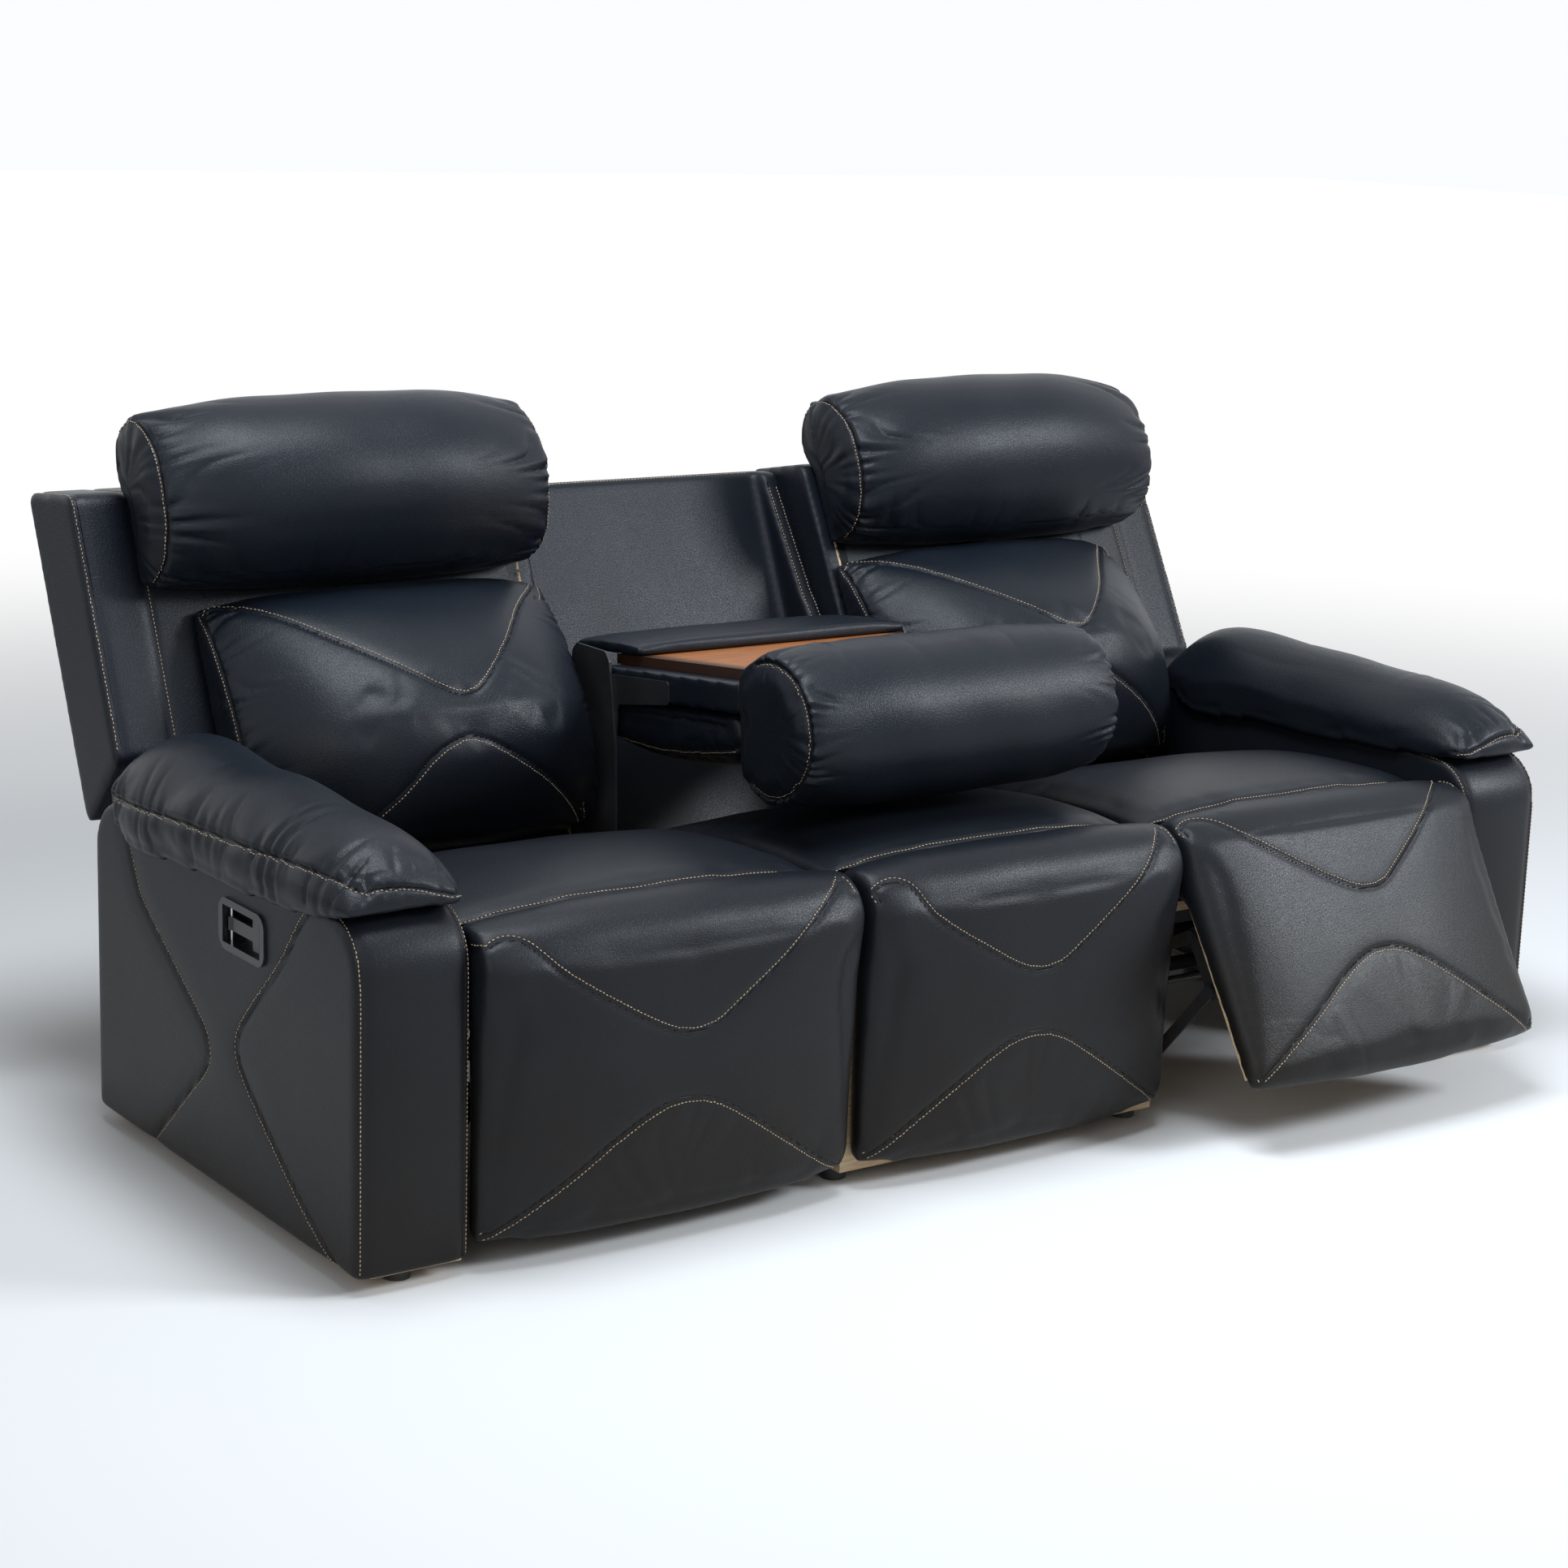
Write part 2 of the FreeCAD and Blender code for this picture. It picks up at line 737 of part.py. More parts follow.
def make_seat_cushion(name):
    """A crowned seat cushion whose front is hollowed round the rolled edge."""
    base = sizes.rail_top + sizes.strap_thick
    lip, rear = -sizes.lip_forward, sizes.seat_rear
    below = -sizes.rail_front + sizes.seat_board / 2

    def draw(x, station):
        drop = sizes.seat_edge_drop * drawn_in(station)
        front_top = sizes.lip_height - drop
        rear_top = sizes.seat_rear_height - drop * 0.5
        crest = (front_top + rear_top) / 2 + sizes.seat_crown
        return section(x, (below, base), [
            ((rear, base),),
            ((rear, rear_top),),
            (((lip + rear) / 2, crest), (lip, front_top)),
            ((below, base),),
        ])

    def hollow(x, station):
        return roll_circle(x, FOOTREST_HINGE, roll_size(station, float(sizes.roll_gap)))

    low, high = cushion_range(name)
    block = shaped(f"seat_cushion_{name}_block", lofted((low, high), draw))
    roll = shaped(f"seat_cushion_{name}_hollow", lofted((low, high), hollow))
    sub_part(f"seat_cushion_{name}", [without(f"seat_cushion_{name}_cut", block, [roll])])


def front_pad_shape(name):
    """A rolled edge and the crowned pad that hangs from its front."""
    back, level = float(FOOTREST_HINGE[0]), float(FOOTREST_HINGE[1])
    low_edge = float(sizes.pad_low)

    def draw(x, station):
        edge = drawn_in(station)
        radius = roll_size(station)
        slant = radius * math.sqrt(0.5)
        thick = float(sizes.pad_crown) + (float(sizes.pad_edge) - float(sizes.pad_crown)) * edge
        low = low_edge + 14 * edge
        return section(x, (back, low + 10), [
            ((back, level - radius),),
            ((back + slant, level - slant), (back + radius, level)),
            ((back + slant, level + slant), (back, level + radius)),
            ((back - slant, level + slant), (back - radius, level)),
            ((back - thick, (level + low) / 2), (back - thick * 0.8, low + 26)),
            ((back - thick * 0.55, low + 4), (back - thick * 0.3, low)),
            ((back, low + 10),),
        ])

    return lofted(cushion_range(name), draw)


# Footrests

def link_layers():
    """Where the stacked layers of the footrest mechanism start, from the seat's end."""
    thick = sizes.link_thick
    plate_near = sizes.seat_board
    swing = plate_near + sizes.plate_thick + 1
    push = swing + thick + sizes.link_gap
    bracket = push + thick + 2
    return {"plate": plate_near, "swing": swing, "push": push, "bracket": bracket}


def swing_pivot():
    """The fixed pivot of the swing links."""
    return (FOOTREST_HINGE[0] + sizes.swing_pivot_back, FOOTREST_HINGE[1] - sizes.swing_pivot_drop)


def stay_pivot():
    """The fixed pivot of the rear links."""
    return (FOOTREST_HINGE[0] + sizes.stay_pivot_back, FOOTREST_HINGE[1] - sizes.stay_pivot_drop)


def swing_arm():
    """From a swing link's fixed pivot to its lower pivot, with the footrest closed."""
    return sizes.swing_back, -sizes.swing_drop


def stay_arm():
    """From a rear link's fixed pivot to its lower pivot, with the footrest closed."""
    return sizes.swing_back, -sizes.stay_drop


def rivet(label, side, end, at, near, far, radius):
    """A round stud across two distances from the seat's end."""
    return rod(label, "x", at, layer(side, end, near, far), radius)


def make_mechanism_plates(name, side):
    """Steel side plates that carry every pivot, with their base flats and cross tubes."""
    layers = link_layers()
    near, far = layers["plate"], layers["plate"] + sizes.plate_thick
    base_top = sizes.foot_height + sizes.base_flat_thick
    top = sizes.rail_top - sizes.front_rail_thick
    back_y, back_z = BACK_PIVOT
    swing_y, swing_z = swing_pivot()
    stay_y, stay_z = stay_pivot()
    foot_front, foot_rear = -sizes.plate_foot_front, sizes.plate_foot_rear
    pieces = []
    for end in ("arm", "centre"):
        key = f"mechanism_{name}_{end}"
        outline = [
            (swing_y - 26, top, 8), (swing_y - 26, swing_z - 23, 18), (swing_y + 25, swing_z - 23, 18),
            (stay_y, stay_z - 30, 20), (foot_front, stay_z - 105, 20), (foot_front, base_top),
            (foot_rear, base_top), (foot_rear, sizes.plate_heel_low, 20),
            (sizes.plate_heel_rear, sizes.plate_heel_height, 20), (back_y + 20, back_z - 27, 14),
            (back_y + 20, back_z + 20, 17), (back_y - 20, back_z + 20, 17), (back_y - 33, top, 12),
        ]
        side_plate = plate(f"{key}_plate", layer(side, end, near, far), outline)
        studs = [side_plate]
        pin_end = layers["swing"] + sizes.link_thick
        head_near = pin_end + 0.3
        head_far = head_near + sizes.rivet_head_thick
        pivots = [
            ("swing", (swing_y, swing_z), sizes.rivet_radius, sizes.rivet_head),
            ("stay", (stay_y, stay_z), sizes.rivet_radius, sizes.rivet_head),
            ("back", BACK_PIVOT, sizes.back_pin_radius, sizes.back_pin_radius + 4),
        ]
        for label, at, radius, head in pivots:
            studs.append(rivet(f"{key}_{label}_stud", side, end, at, near, head_far, radius))
            studs.append(rivet(f"{key}_{label}_head", side, end, at, head_near, head_far, head))
        pieces.append(joined(f"{key}_solid", studs))
        pieces.append(box(f"{key}_base", layer(side, end, near - 10, near - 10 + sizes.base_flat_wide),
                          (-sizes.base_flat_front, sizes.base_flat_rear), (sizes.foot_height, base_top)))
    low, high = seat_sides(name)
    tubes = {
        "front": (sizes.front_tube_rear, sizes.front_tube_height),
        "rear": (sizes.rear_tube_rear, sizes.rear_tube_height),
    }
    for label, at in tubes.items():
        pieces.append(rod(f"mechanism_{name}_{label}_tube", "x", at, (low + far, high - far),
                          sizes.cross_tube_radius))
    sub_part(f"mechanism_plates_{name}", pieces)


def make_links(name, side, angle):
    """Two pairs of links on each end of the seat that carry the footrest."""
    layers = link_layers()
    thick = sizes.link_thick
    swing_x = (layers["swing"], layers["swing"] + thick)
    push_x = (layers["push"], layers["push"] + thick)
    head = (push_x[1] + 0.3, push_x[1] + 0.3 + sizes.rivet_head_thick)
    sets = [
        ("swing_links", "push_links", swing_pivot(), swing_arm()),
        ("stay_links", "tie_links", stay_pivot(), stay_arm()),
    ]
    for swing_label, push_label, pivot, arm in sets:
        lower = turned(pivot, arm, angle)
        upper = turned(FOOTREST_HINGE, arm, angle)
        swings, pushes = [], []
        for end in ("arm", "centre"):
            key = f"{swing_label}_{name}_{end}"
            bar = link_bar(f"{key}_bar", layer(side, end, *swing_x), pivot, lower, [pivot])
            stud = rivet(f"{key}_stud", side, end, lower, swing_x[0], head[1], sizes.rivet_radius)
            cap = rivet(f"{key}_cap", side, end, lower, head[0], head[1], sizes.rivet_head)
            swings.append(joined(f"{key}_solid", [bar, stud, cap]))
            pushes.append(link_bar(f"{push_label}_{name}_{end}", layer(side, end, *push_x),
                                   upper, lower, [upper, lower]))
        if swing_label == "swing_links":
            share = sizes.torque_tube_share
            place = turned(pivot, (arm[0] * share, arm[1] * share), angle)
            low, high = seat_sides(name)
            swings.append(rod(f"torque_tube_{name}", "x", place,
                              (low + swing_x[1], high - swing_x[1]), sizes.torque_tube_radius))
        sub_part(f"{swing_label}_{name}", swings)
        sub_part(f"{push_label}_{name}", pushes)


def make_footrest(name, side, angle):
    """The footrest's pad, its board and the steel brackets behind it."""
    pose = swing_pose(FOOTREST_HINGE, angle)
    low, high = seat_sides(name)
    back, level = FOOTREST_HINGE
    sub_part(f"footrest_pad_{name}", [shaped(f"footrest_pad_{name}_form", front_pad_shape(name))], pose)
    rear_face = back + sizes.board_thick
    sub_part(f"footrest_board_{name}", [
        box(f"footrest_board_{name}_panel", (low + sizes.board_side, high - sizes.board_side),
            (back, rear_face), (sizes.board_low, sizes.rail_top)),
    ], pose)

    layers = link_layers()
    thick = sizes.link_thick
    near, far = layers["bracket"], layers["bracket"] + thick
    head_far = layers["push"] - 0.3
    head_near = head_far - sizes.rivet_head_thick
    brackets = []
    for end in ("arm", "centre"):
        key = f"footrest_bracket_{name}_{end}"
        pivots = [
            (back + swing_arm()[0], level + swing_arm()[1]),
            (back + stay_arm()[0], level + stay_arm()[1]),
        ]
        bottom, top = pivots[0][1] - sizes.eye_radius, pivots[1][1] + sizes.eye_radius
        edge = pivots[0][0] + sizes.eye_radius
        pieces = [
            plate(f"{key}_plate", layer(side, end, near, far), [
                (rear_face, bottom - 8), (edge, bottom, 9), (edge, top, 9), (rear_face, top),
            ]),
            box(f"{key}_foot", layer(side, end, near, far + 20), (rear_face, rear_face + thick),
                (bottom, top)),
        ]
        for index, at in enumerate(pivots):
            pieces.append(rivet(f"{key}_stud_{index + 1}", side, end, at, head_near, far,
                                sizes.rivet_radius))
            pieces.append(rivet(f"{key}_head_{index + 1}", side, end, at, head_near, head_far,
                                sizes.rivet_head))
        brackets.append(joined(f"{key}_solid", pieces))
    sub_part(f"footrest_brackets_{name}", brackets, pose)


# Reclining backs, drawn with Y as depth and Z as height from the pivot

def shell_outline(inset):
    """Side view of the back's shell; its front and bottom are open for the boards."""
    front, rear, top = sizes.back_front, sizes.back_rear, sizes.back_top
    open_by = 1 if float(inset) > 0 else 0
    return [
        (front - open_by, -open_by),
        (sizes.skirt_front + inset, -open_by),
        (sizes.skirt_front + inset, -sizes.skirt_drop - open_by),
        (rear - inset, -sizes.skirt_drop - open_by),
        (rear - inset, top + sizes.back_corner_rise - inset, 20),
        (rear - 20 - inset, top + sizes.back_top_rise - inset, 12),
        (front + 14, top + 4 - inset, 10),
        (front - open_by, top - 16 - inset),
    ]


def wing_outline(inset):
    """Side view of the wing that stands over the arm."""
    front, rear, top = sizes.back_front, sizes.back_rear, sizes.back_top
    return [
        (front + inset, sizes.wing_low_front + inset, 12),
        (rear - inset, sizes.wing_low_rear + inset, 16),
        (rear - inset, top + sizes.back_corner_rise - inset, 20),
        (rear - 20 - inset, top + sizes.back_top_rise - inset, 12),
        (front + 14 + inset, top + 4 - inset, 10),
        (front + inset, top - 16 - inset, 6),
    ]


def make_back_shell(name, side, pose):
    """The leather-covered casing of a back, with its wing over the arm."""
    wall = sizes.shell_wall
    inner, outer = CENTRE_EDGE + sizes.shell_side_gap, SEAT_EDGE - sizes.shell_side_gap
    wing_end = SEAT_EDGE + sizes.wing_reach
    outside = joined(f"back_shell_{name}_outside", [
        plate(f"back_shell_{name}_main", across(side, inner, outer), shell_outline(0)),
        plate(f"back_shell_{name}_wing", across(side, outer - wall, wing_end), wing_outline(0)),
    ])
    inside = joined(f"back_shell_{name}_inside", [
        plate(f"back_shell_{name}_hollow", across(side, inner + wall, outer - wall),
              shell_outline(wall)),
        plate(f"back_shell_{name}_wing_hollow", across(side, outer - 2 * wall, wing_end - wall),
              wing_outline(wall)),
    ])
    sub_part(f"back_shell_{name}", [without(f"back_shell_{name}_cut", outside, [inside])], pose)


def make_back_frame(name, side, pose):
    """Stiles and rails inside the shell, on which the cushions are fixed."""
    near = link_layers()["swing"] + sizes.link_thick
    far = near + sizes.stile_wide
    front = sizes.back_front
    middle = front + sizes.stile_deep
    wall = sizes.shell_wall
    rail_low = CENTRE_EDGE + sizes.shell_side_gap + wall
    rail_high = SEAT_EDGE - sizes.shell_side_gap - wall
    pieces = [
        box(f"back_stile_{name}_{end}", layer(side, end, near, far), (front, middle),
            (as_size(0), sizes.back_top - sizes.stile_top_gap))
        for end in ("arm", "centre")
    ]
    for index in range(round(float(sizes.back_rail_count))):
        level = sizes.back_rail_low + sizes.back_rail_step * index
        pieces.append(box(f"back_rail_{name}_{index + 1}", across(side, rail_low, rail_high),
                          (middle, middle + sizes.back_rail_thick), (level, level + sizes.back_rail_wide)))
    sub_part(f"back_frame_{name}", pieces, pose)


def make_back_brackets(name, side, pose):
    """Steel arms that hang the back frame on the mechanism's rear pivots."""
    near = link_layers()["swing"]
    far = near + sizes.link_thick
    front = sizes.back_front
    hole = sizes.back_pin_radius + sizes.running_fit
    eye, top = sizes.back_bracket_half, sizes.back_bracket_top
    strip_front, strip_rear = front + 1, front + sizes.back_bracket_strip
    pieces = [
        plate(f"back_bracket_{name}_{end}", layer(side, end, near, far), [
            (-eye, -eye, 15), (eye, -eye, 15), (strip_rear, 8, 6), (strip_rear, top, 4),
            (strip_front, top, 4), (strip_front, 46, 8), (eye, eye, 15), (-eye, eye, 15),
        ], [(0, 0, hole)])
        for end in ("arm", "centre")
    ]
    sub_part(f"back_brackets_{name}", pieces, pose)


def make_lumbar_cushion(name, side, pose):
    """The deep crowned cushion of a back, drawn in at its sides."""
    front, crown = float(sizes.back_front), float(sizes.lumbar_crown)
    low, top = float(sizes.lumbar_low), float(sizes.lumbar_top)

    def draw(x, station):
        share = 1 - 0.62 * drawn_in(station)
        ease = 12 * drawn_in(station)

        def depth(distance):
            return front - (front + distance) * share

        return section(x, (front, low + ease), [
            ((front, top - 8 - ease),),
            ((depth(-16), top + 1 - ease), (depth(22), top - 4 - ease)),
            ((depth(115), 0.78 * top), (depth(crown), 0.47 * top)),
            ((depth(150), 0.21 * top), (depth(90), low - 14 + ease)),
            ((depth(20), low - 16 + ease), (front, low + ease)),
        ])

    x_range = across(side, CENTRE_EDGE + sizes.lumbar_side_gap, SEAT_EDGE - sizes.lumbar_arm_gap)
    sub_part(f"lumbar_cushion_{name}", [shaped(f"lumbar_{name}_form", lofted(x_range, draw))], pose)


def make_headrest_cushion(name, side, pose):
    """The pillow along the top of a back, which reaches in front of the wing."""
    front, crown = float(sizes.back_front), float(sizes.headrest_crown)
    low, top = float(sizes.headrest_low), float(sizes.headrest_top)
    back_top = float(sizes.back_top)

    def draw(x, station):
        edge = drawn_in(station)
        share = 1 - 0.3 * edge
        crest = top - 20 * edge
        lowest = low + 10 + 16 * edge

        def depth(distance):
            return front - (front + distance) * share

        return section(x, (front, lowest), [
            ((front, back_top - 16),),
            ((front + 11, back_top + 57 - 14 * edge), (depth(-28), crest - 14)),
            ((depth(33), crest), (depth(95), crest - 22)),
            ((depth(crown), low + 158), (depth(118), low + 60)),
            ((depth(54), lowest - 2), (front, lowest)),
        ])

    x_range = across(side, CENTRE_EDGE + sizes.headrest_centre_gap, SEAT_EDGE + sizes.headrest_reach)
    sub_part(f"headrest_cushion_{name}", [shaped(f"headrest_{name}_form", lofted(x_range, draw))], pose)


# Centre seat and the fixed shell behind the console

def make_centre_frame():
    """Boards under the centre seat, down to the feet."""
    board, top, floor = sizes.seat_board, sizes.rail_top, sizes.foot_height
    front, rear = -sizes.rail_front - 5, sizes.centre_rear
    pieces = [
        box(f"centre_side_{name}", across(side, CENTRE_EDGE - board, CENTRE_EDGE), (front, rear),
            (floor, top))
        for name, side in SIDES.items()
    ]
    inner = CENTRE_EDGE - board
    pieces += [
        box("centre_front", (-CENTRE_EDGE, CENTRE_EDGE), (FOOTREST_HINGE[0], front), (floor, top)),
        box("centre_front_rail", (-inner, inner), (front, front + sizes.front_rail_long),
            (top - sizes.front_rail_thick, top)),
        box("centre_rear", (-inner, inner), (sizes.rail_rear - board, sizes.rail_rear),
            (top - sizes.rail_depth, top)),
        box("centre_end", (-inner, inner), (rear - board, rear), (sizes.centre_board_low, top)),
        box("centre_floor", (-inner, inner), (as_size(-30), as_size(30)), (floor, floor + 25)),
    ]
    sub_part("centre_seat_frame", pieces)


def make_rear_shell():
    """The fixed leather panel behind the console, with a tapering cheek on each side."""
    cosine = math.cos(math.radians(float(sizes.back_lean)))
    slope = math.tan(math.radians(float(sizes.back_lean)))

    def leaning(depth, z):
        return float(BACK_PIVOT[0]) + float(depth) / cosine + (z - float(BACK_PIVOT[1])) * slope

    rear = float(sizes.back_rear)
    front = rear - float(sizes.rear_panel_thick)
    top, low = float(sizes.rear_shell_top), float(sizes.centre_board_low)
    edge, foot = sizes.centre_rear, sizes.cheek_foot_height
    half = CENTRE_EDGE - 2.5
    panel = plate("rear_panel", (-half, half), [
        (leaning(front, low), low), (leaning(rear, low), low),
        (leaning(rear, top), top, 8), (leaning(front, top), top, 8),
    ])
    cheeks = [
        plate(f"rear_cheek_{name}", across(side, half - sizes.cheek_wide, half), [
            (edge, low), (edge, foot), (edge + 16, foot + 30),
            (edge + sizes.cheek_waist_rear, sizes.cheek_waist_height),
            (edge + sizes.cheek_nose_rear, sizes.cheek_nose_height, 30),
            (leaning(sizes.cheek_top_depth, top), top, 10), (leaning(rear - 2, top), top, 8),
            (leaning(rear - 2, low), low),
        ])
        for name, side in SIDES.items()
    ]
    sub_part("centre_rear_shell", [joined("rear_shell_solid", [panel] + cheeks)])


# Folding console, drawn with its front toward -Y and its pivot at the origin

def make_console(pose):
    """The centre back that folds down, with the tray and cup holders on its rear."""
    half, rail = sizes.console_half, sizes.console_rail
    low, deck, top = sizes.console_rail_low, sizes.console_deck_low, sizes.console_deck_top
    reach, tail = sizes.console_length, sizes.console_tail
    inner = half - rail
    tray_top = top + sizes.tray_thick
    cups = [(x, -sizes.cup_forward) for x in (-sizes.cup_apart / 2, sizes.cup_apart / 2)]
    cup_body = sizes.cup_bore + sizes.cup_wall

    def with_cup_holes(label, piece, z):
        holes = [
            rod(f"{label}_hole_{index + 1}", "z", at, z, cup_body + sizes.cup_gap)
            for index, at in enumerate(cups)
        ]
        return without(f"{label}_cut", piece, holes)

    pieces = [
        box(f"console_rail_{name}", across(side, inner, half), (-reach, tail / 2), (low, deck))
        for name, side in SIDES.items()
    ]
    pieces += [
        box(f"console_cross_rail_{index + 1}", (-inner, inner), (y, y + rail), (low, deck))
        for index, y in enumerate((-tail / 2, -reach * 0.6, -reach))
    ]
    board = box("console_deck", (-half, half), (-reach, tail), (deck, top))
    pieces.append(with_cup_holes("console_deck", board, (deck, top)))
    sub_part("console_frame", pieces, pose)

    tray = box("console_tray_board", (-sizes.tray_half, sizes.tray_half), (-reach, tail), (top, tray_top))
    sub_part("console_tray", [with_cup_holes("console_tray", tray, (top, tray_top))], pose)

    cup_pieces = []
    rim = tray_top + sizes.cup_wall
    for index, at in enumerate(cups):
        body = rod(f"cup_{index + 1}_body", "z", at, (rim - sizes.cup_depth - sizes.cup_wall, rim), cup_body)
        flange = rod(f"cup_{index + 1}_flange", "z", at, (tray_top, rim), sizes.cup_flange)
        bore = rod(f"cup_{index + 1}_bore", "z", at, (rim - sizes.cup_depth, rim + 1), sizes.cup_bore)
        solid = joined(f"cup_{index + 1}_solid", [body, flange])
        cup_pieces.append(without(f"cup_{index + 1}", solid, [bore]))
    sub_part("cup_holders", cup_pieces, pose)

    make_console_soft_parts(pose)

    arm_face = half + sizes.hinge_arm
    arm_holes = [(0, 0, sizes.hinge_pin_radius + sizes.running_fit)]
    eye, arm_end = sizes.hinge_arm_eye, -sizes.hinge_arm_reach
    arms = [
        plate(f"console_arm_{name}", across(side, half, arm_face), [
            (eye, -eye, 15), (eye, low - 2, 8), (tail / 2, deck, 4), (arm_end, deck, 6),
            (arm_end, low + 4, 6), (-30, low - 6, 10), (-eye, -eye, 15),
        ], arm_holes)
        for name, side in SIDES.items()
    ]
    sub_part("console_hinge_arms", arms, pose)


def make_console_soft_parts(pose):
    """The console's lumbar pad, headrest roll and rear flap."""
    rail_low = float(sizes.console_rail_low)
    reach = float(sizes.console_length)
    crown = float(sizes.console_pad_crown)

    def lumbar(x, station):
        edge = drawn_in(station)
        low = -crown + 16 * edge
        rear, front = 35 - 8 * edge, -reach + 5 + 6 * edge
        return section(x, (rear - 12, rail_low), [
            ((rear, (rail_low + low) / 2), (rear - 16, low + 6)),
            (((rear + front) / 2, low - 4), (front + 14, low + 6)),
            ((front, (rail_low + low) / 2), (front + 8, rail_low)),
            ((rear - 12, rail_low),),
        ])

    pad_half = sizes.console_pad_half
    pad = shaped("console_lumbar_form", lofted((-pad_half, pad_half), lumbar))
    sub_part("console_lumbar_pad", [pad], pose)

    centre = (-sizes.roll_forward, sizes.roll_level)

    def roll(x, station):
        radius = float(sizes.headrest_roll_radius) * (1 - 0.12 * drawn_in(station, 4))
        return roll_circle(x, centre, radius)

    roll_half = sizes.headrest_roll_half
    round_form = shaped("console_roll_form", lofted((-roll_half, roll_half), roll))
    notch = box("console_roll_notch", (-roll_half * 2, roll_half * 2), (-sizes.console_length, as_size(0)),
                (sizes.roll_level - 2 * sizes.headrest_roll_radius,
                 sizes.console_deck_top + sizes.tray_thick + sizes.cup_gap))
    sub_part("console_headrest_roll", [without("console_roll_cut", round_form, [notch])], pose)

    base = float(sizes.console_deck_top + sizes.tray_thick)
    thick = float(sizes.flap_thick)
    front, rear = -float(sizes.flap_front), float(sizes.flap_rear)

    def flap(x, station):
        edge = drawn_in(station, 6)
        top = base + thick * (1 - 0.25 * edge)
        return section(x, (rear - 4, base), [
            ((rear, (base + top) / 2), (rear - 5, top - 4)),
            (((front + rear) / 2, top), (front + 5, top - 4)),
            ((front, (base + top) / 2), (front + 4, base)),
            ((rear - 4, base),),
        ])

    flap_half = sizes.flap_half
    sub_part("console_flap_pad", [shaped("console_flap_form", lofted((-flap_half, flap_half), flap))], pose)


def make_console_brackets():
    """Steel plates on the centre frame that carry the console's pins."""
    y, z = CONSOLE_PIVOT
    outer = sizes.hinge_plate_edge
    inner = outer - sizes.hinge_plate
    arm_face = sizes.console_half
    foot_top = sizes.rail_top + sizes.hinge_plate
    rear = sizes.centre_rear
    front = rear - sizes.hinge_plate_long
    top, tip = sizes.hinge_plate_top, y + sizes.hinge_plate_reach
    pieces = []
    for name, side in SIDES.items():
        upright = plate(f"console_bracket_{name}_plate", across(side, inner, outer), [
            (front, sizes.rail_top), (rear, sizes.rail_top), (tip, top - 79, 20), (tip, top - 13, 10),
            (tip - 12, top, 8), (y + 6, top, 8), (y - 5, top - 13, 8), (y - 26, z - 5, 20),
        ])
        foot = box(f"console_bracket_{name}_foot", across(side, outer - sizes.hinge_foot_wide, outer),
                   (front, rear), (sizes.rail_top, foot_top))
        head_far = arm_face - 0.3
        stud = rod(f"console_pin_{name}", "x", (y, z), across(side, head_far - 1.8, outer),
                   sizes.hinge_pin_radius)
        head = rod(f"console_pin_head_{name}", "x", (y, z), across(side, head_far - 1.8, head_far),
                   sizes.hinge_pin_head)
        pieces.append(joined(f"console_bracket_{name}", [upright, foot, stud, head]))
    sub_part("console_hinge_brackets", pieces)


# Feet

def make_feet():
    """Round glides under the arms, the mechanisms and the centre frame."""
    places = [(as_size(0), as_size(0))]
    board = sizes.seat_board
    for side in SIDES.values():
        arm_middle = side * (SEAT_EDGE + sizes.arm_width / 2)
        for y in (-350, 350):
            places.append((arm_middle, as_size(y)))
        for edge in (SEAT_EDGE - board - 4, CENTRE_EDGE + board + 4):
            for y in (-35, 165):
                places.append((side * edge, as_size(y)))
        for y in (-330, 320):
            places.append((side * (CENTRE_EDGE - sizes.foot_radius), as_size(y)))
    sub_part("floor_glides", [
        rod(f"glide_{index + 1}", "z", at, (as_size(0), sizes.foot_height), sizes.foot_radius)
        for index, at in enumerate(places)
    ])


# Build

def build_side(name, side, footrest_angle, recline_angle):
    """Every sub-part of one outer seat, its arm and its back."""
    make_arm_frame(name, side)
    make_arm_cover(name, side)
    make_arm_side_panel(name, side)
    make_arm_pad(name, side)
    make_handle(name, side)
    make_seat_frame(name)
    make_webbing(name)
    make_seat_cushion(name)
    make_mechanism_plates(name, side)
    make_links(name, side, footrest_angle)
    make_footrest(name, side, footrest_angle)
    pose = local_pose(BACK_PIVOT, sizes.back_lean + recline_angle)
    make_back_shell(name, side, pose)
    make_back_frame(name, side, pose)
    make_back_brackets(name, side, pose)
    make_lumbar_cushion(name, side, pose)
    make_headrest_cushion(name, side, pose)


def build():
    """The whole sofa, with the right seat's footrest part open and its back a little reclined."""
    build_side("left", SIDES["left"], 0, 0)
    build_side("right", SIDES["right"], sizes.footrest_travel_shown, sizes.recline_shown)
    make_centre_frame()
    make_webbing("centre")
    make_seat_cushion("centre")
    sub_part("centre_front_pad", [shaped("centre_front_pad_form", front_pad_shape("centre"))])
    make_rear_shell()
    make_console(local_pose(CONSOLE_PIVOT, sizes.console_tilt))
    make_console_brackets()
    make_feet()


def check_and_export():
    """Stops on any failed object or bad shape, then writes one file for each sub-part."""
    doc.recompute()
    for item in doc.Objects:
        if {"Invalid", "Error"} & set(item.State):
            raise RuntimeError(f"{item.Label} failed: {item.State}")
    os.makedirs("parts", exist_ok=True)
    for item in NODES:
        shape = item.Shape
        if shape.isNull() or not shape.isValid() or not shape.Solids:
            raise RuntimeError(f"{item.Label} has no valid shape")
    for item in NODES:
        item.Shape.exportStep(f"parts/{item.Label}.step")
    print(len(NODES), "sub-parts,", sum(len(item.Shape.Solids) for item in NODES), "solids")


build()
check_and_export()
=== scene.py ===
"""A black leather reclining sofa with a centre back that folds down into a tray, dressed over its frame."""

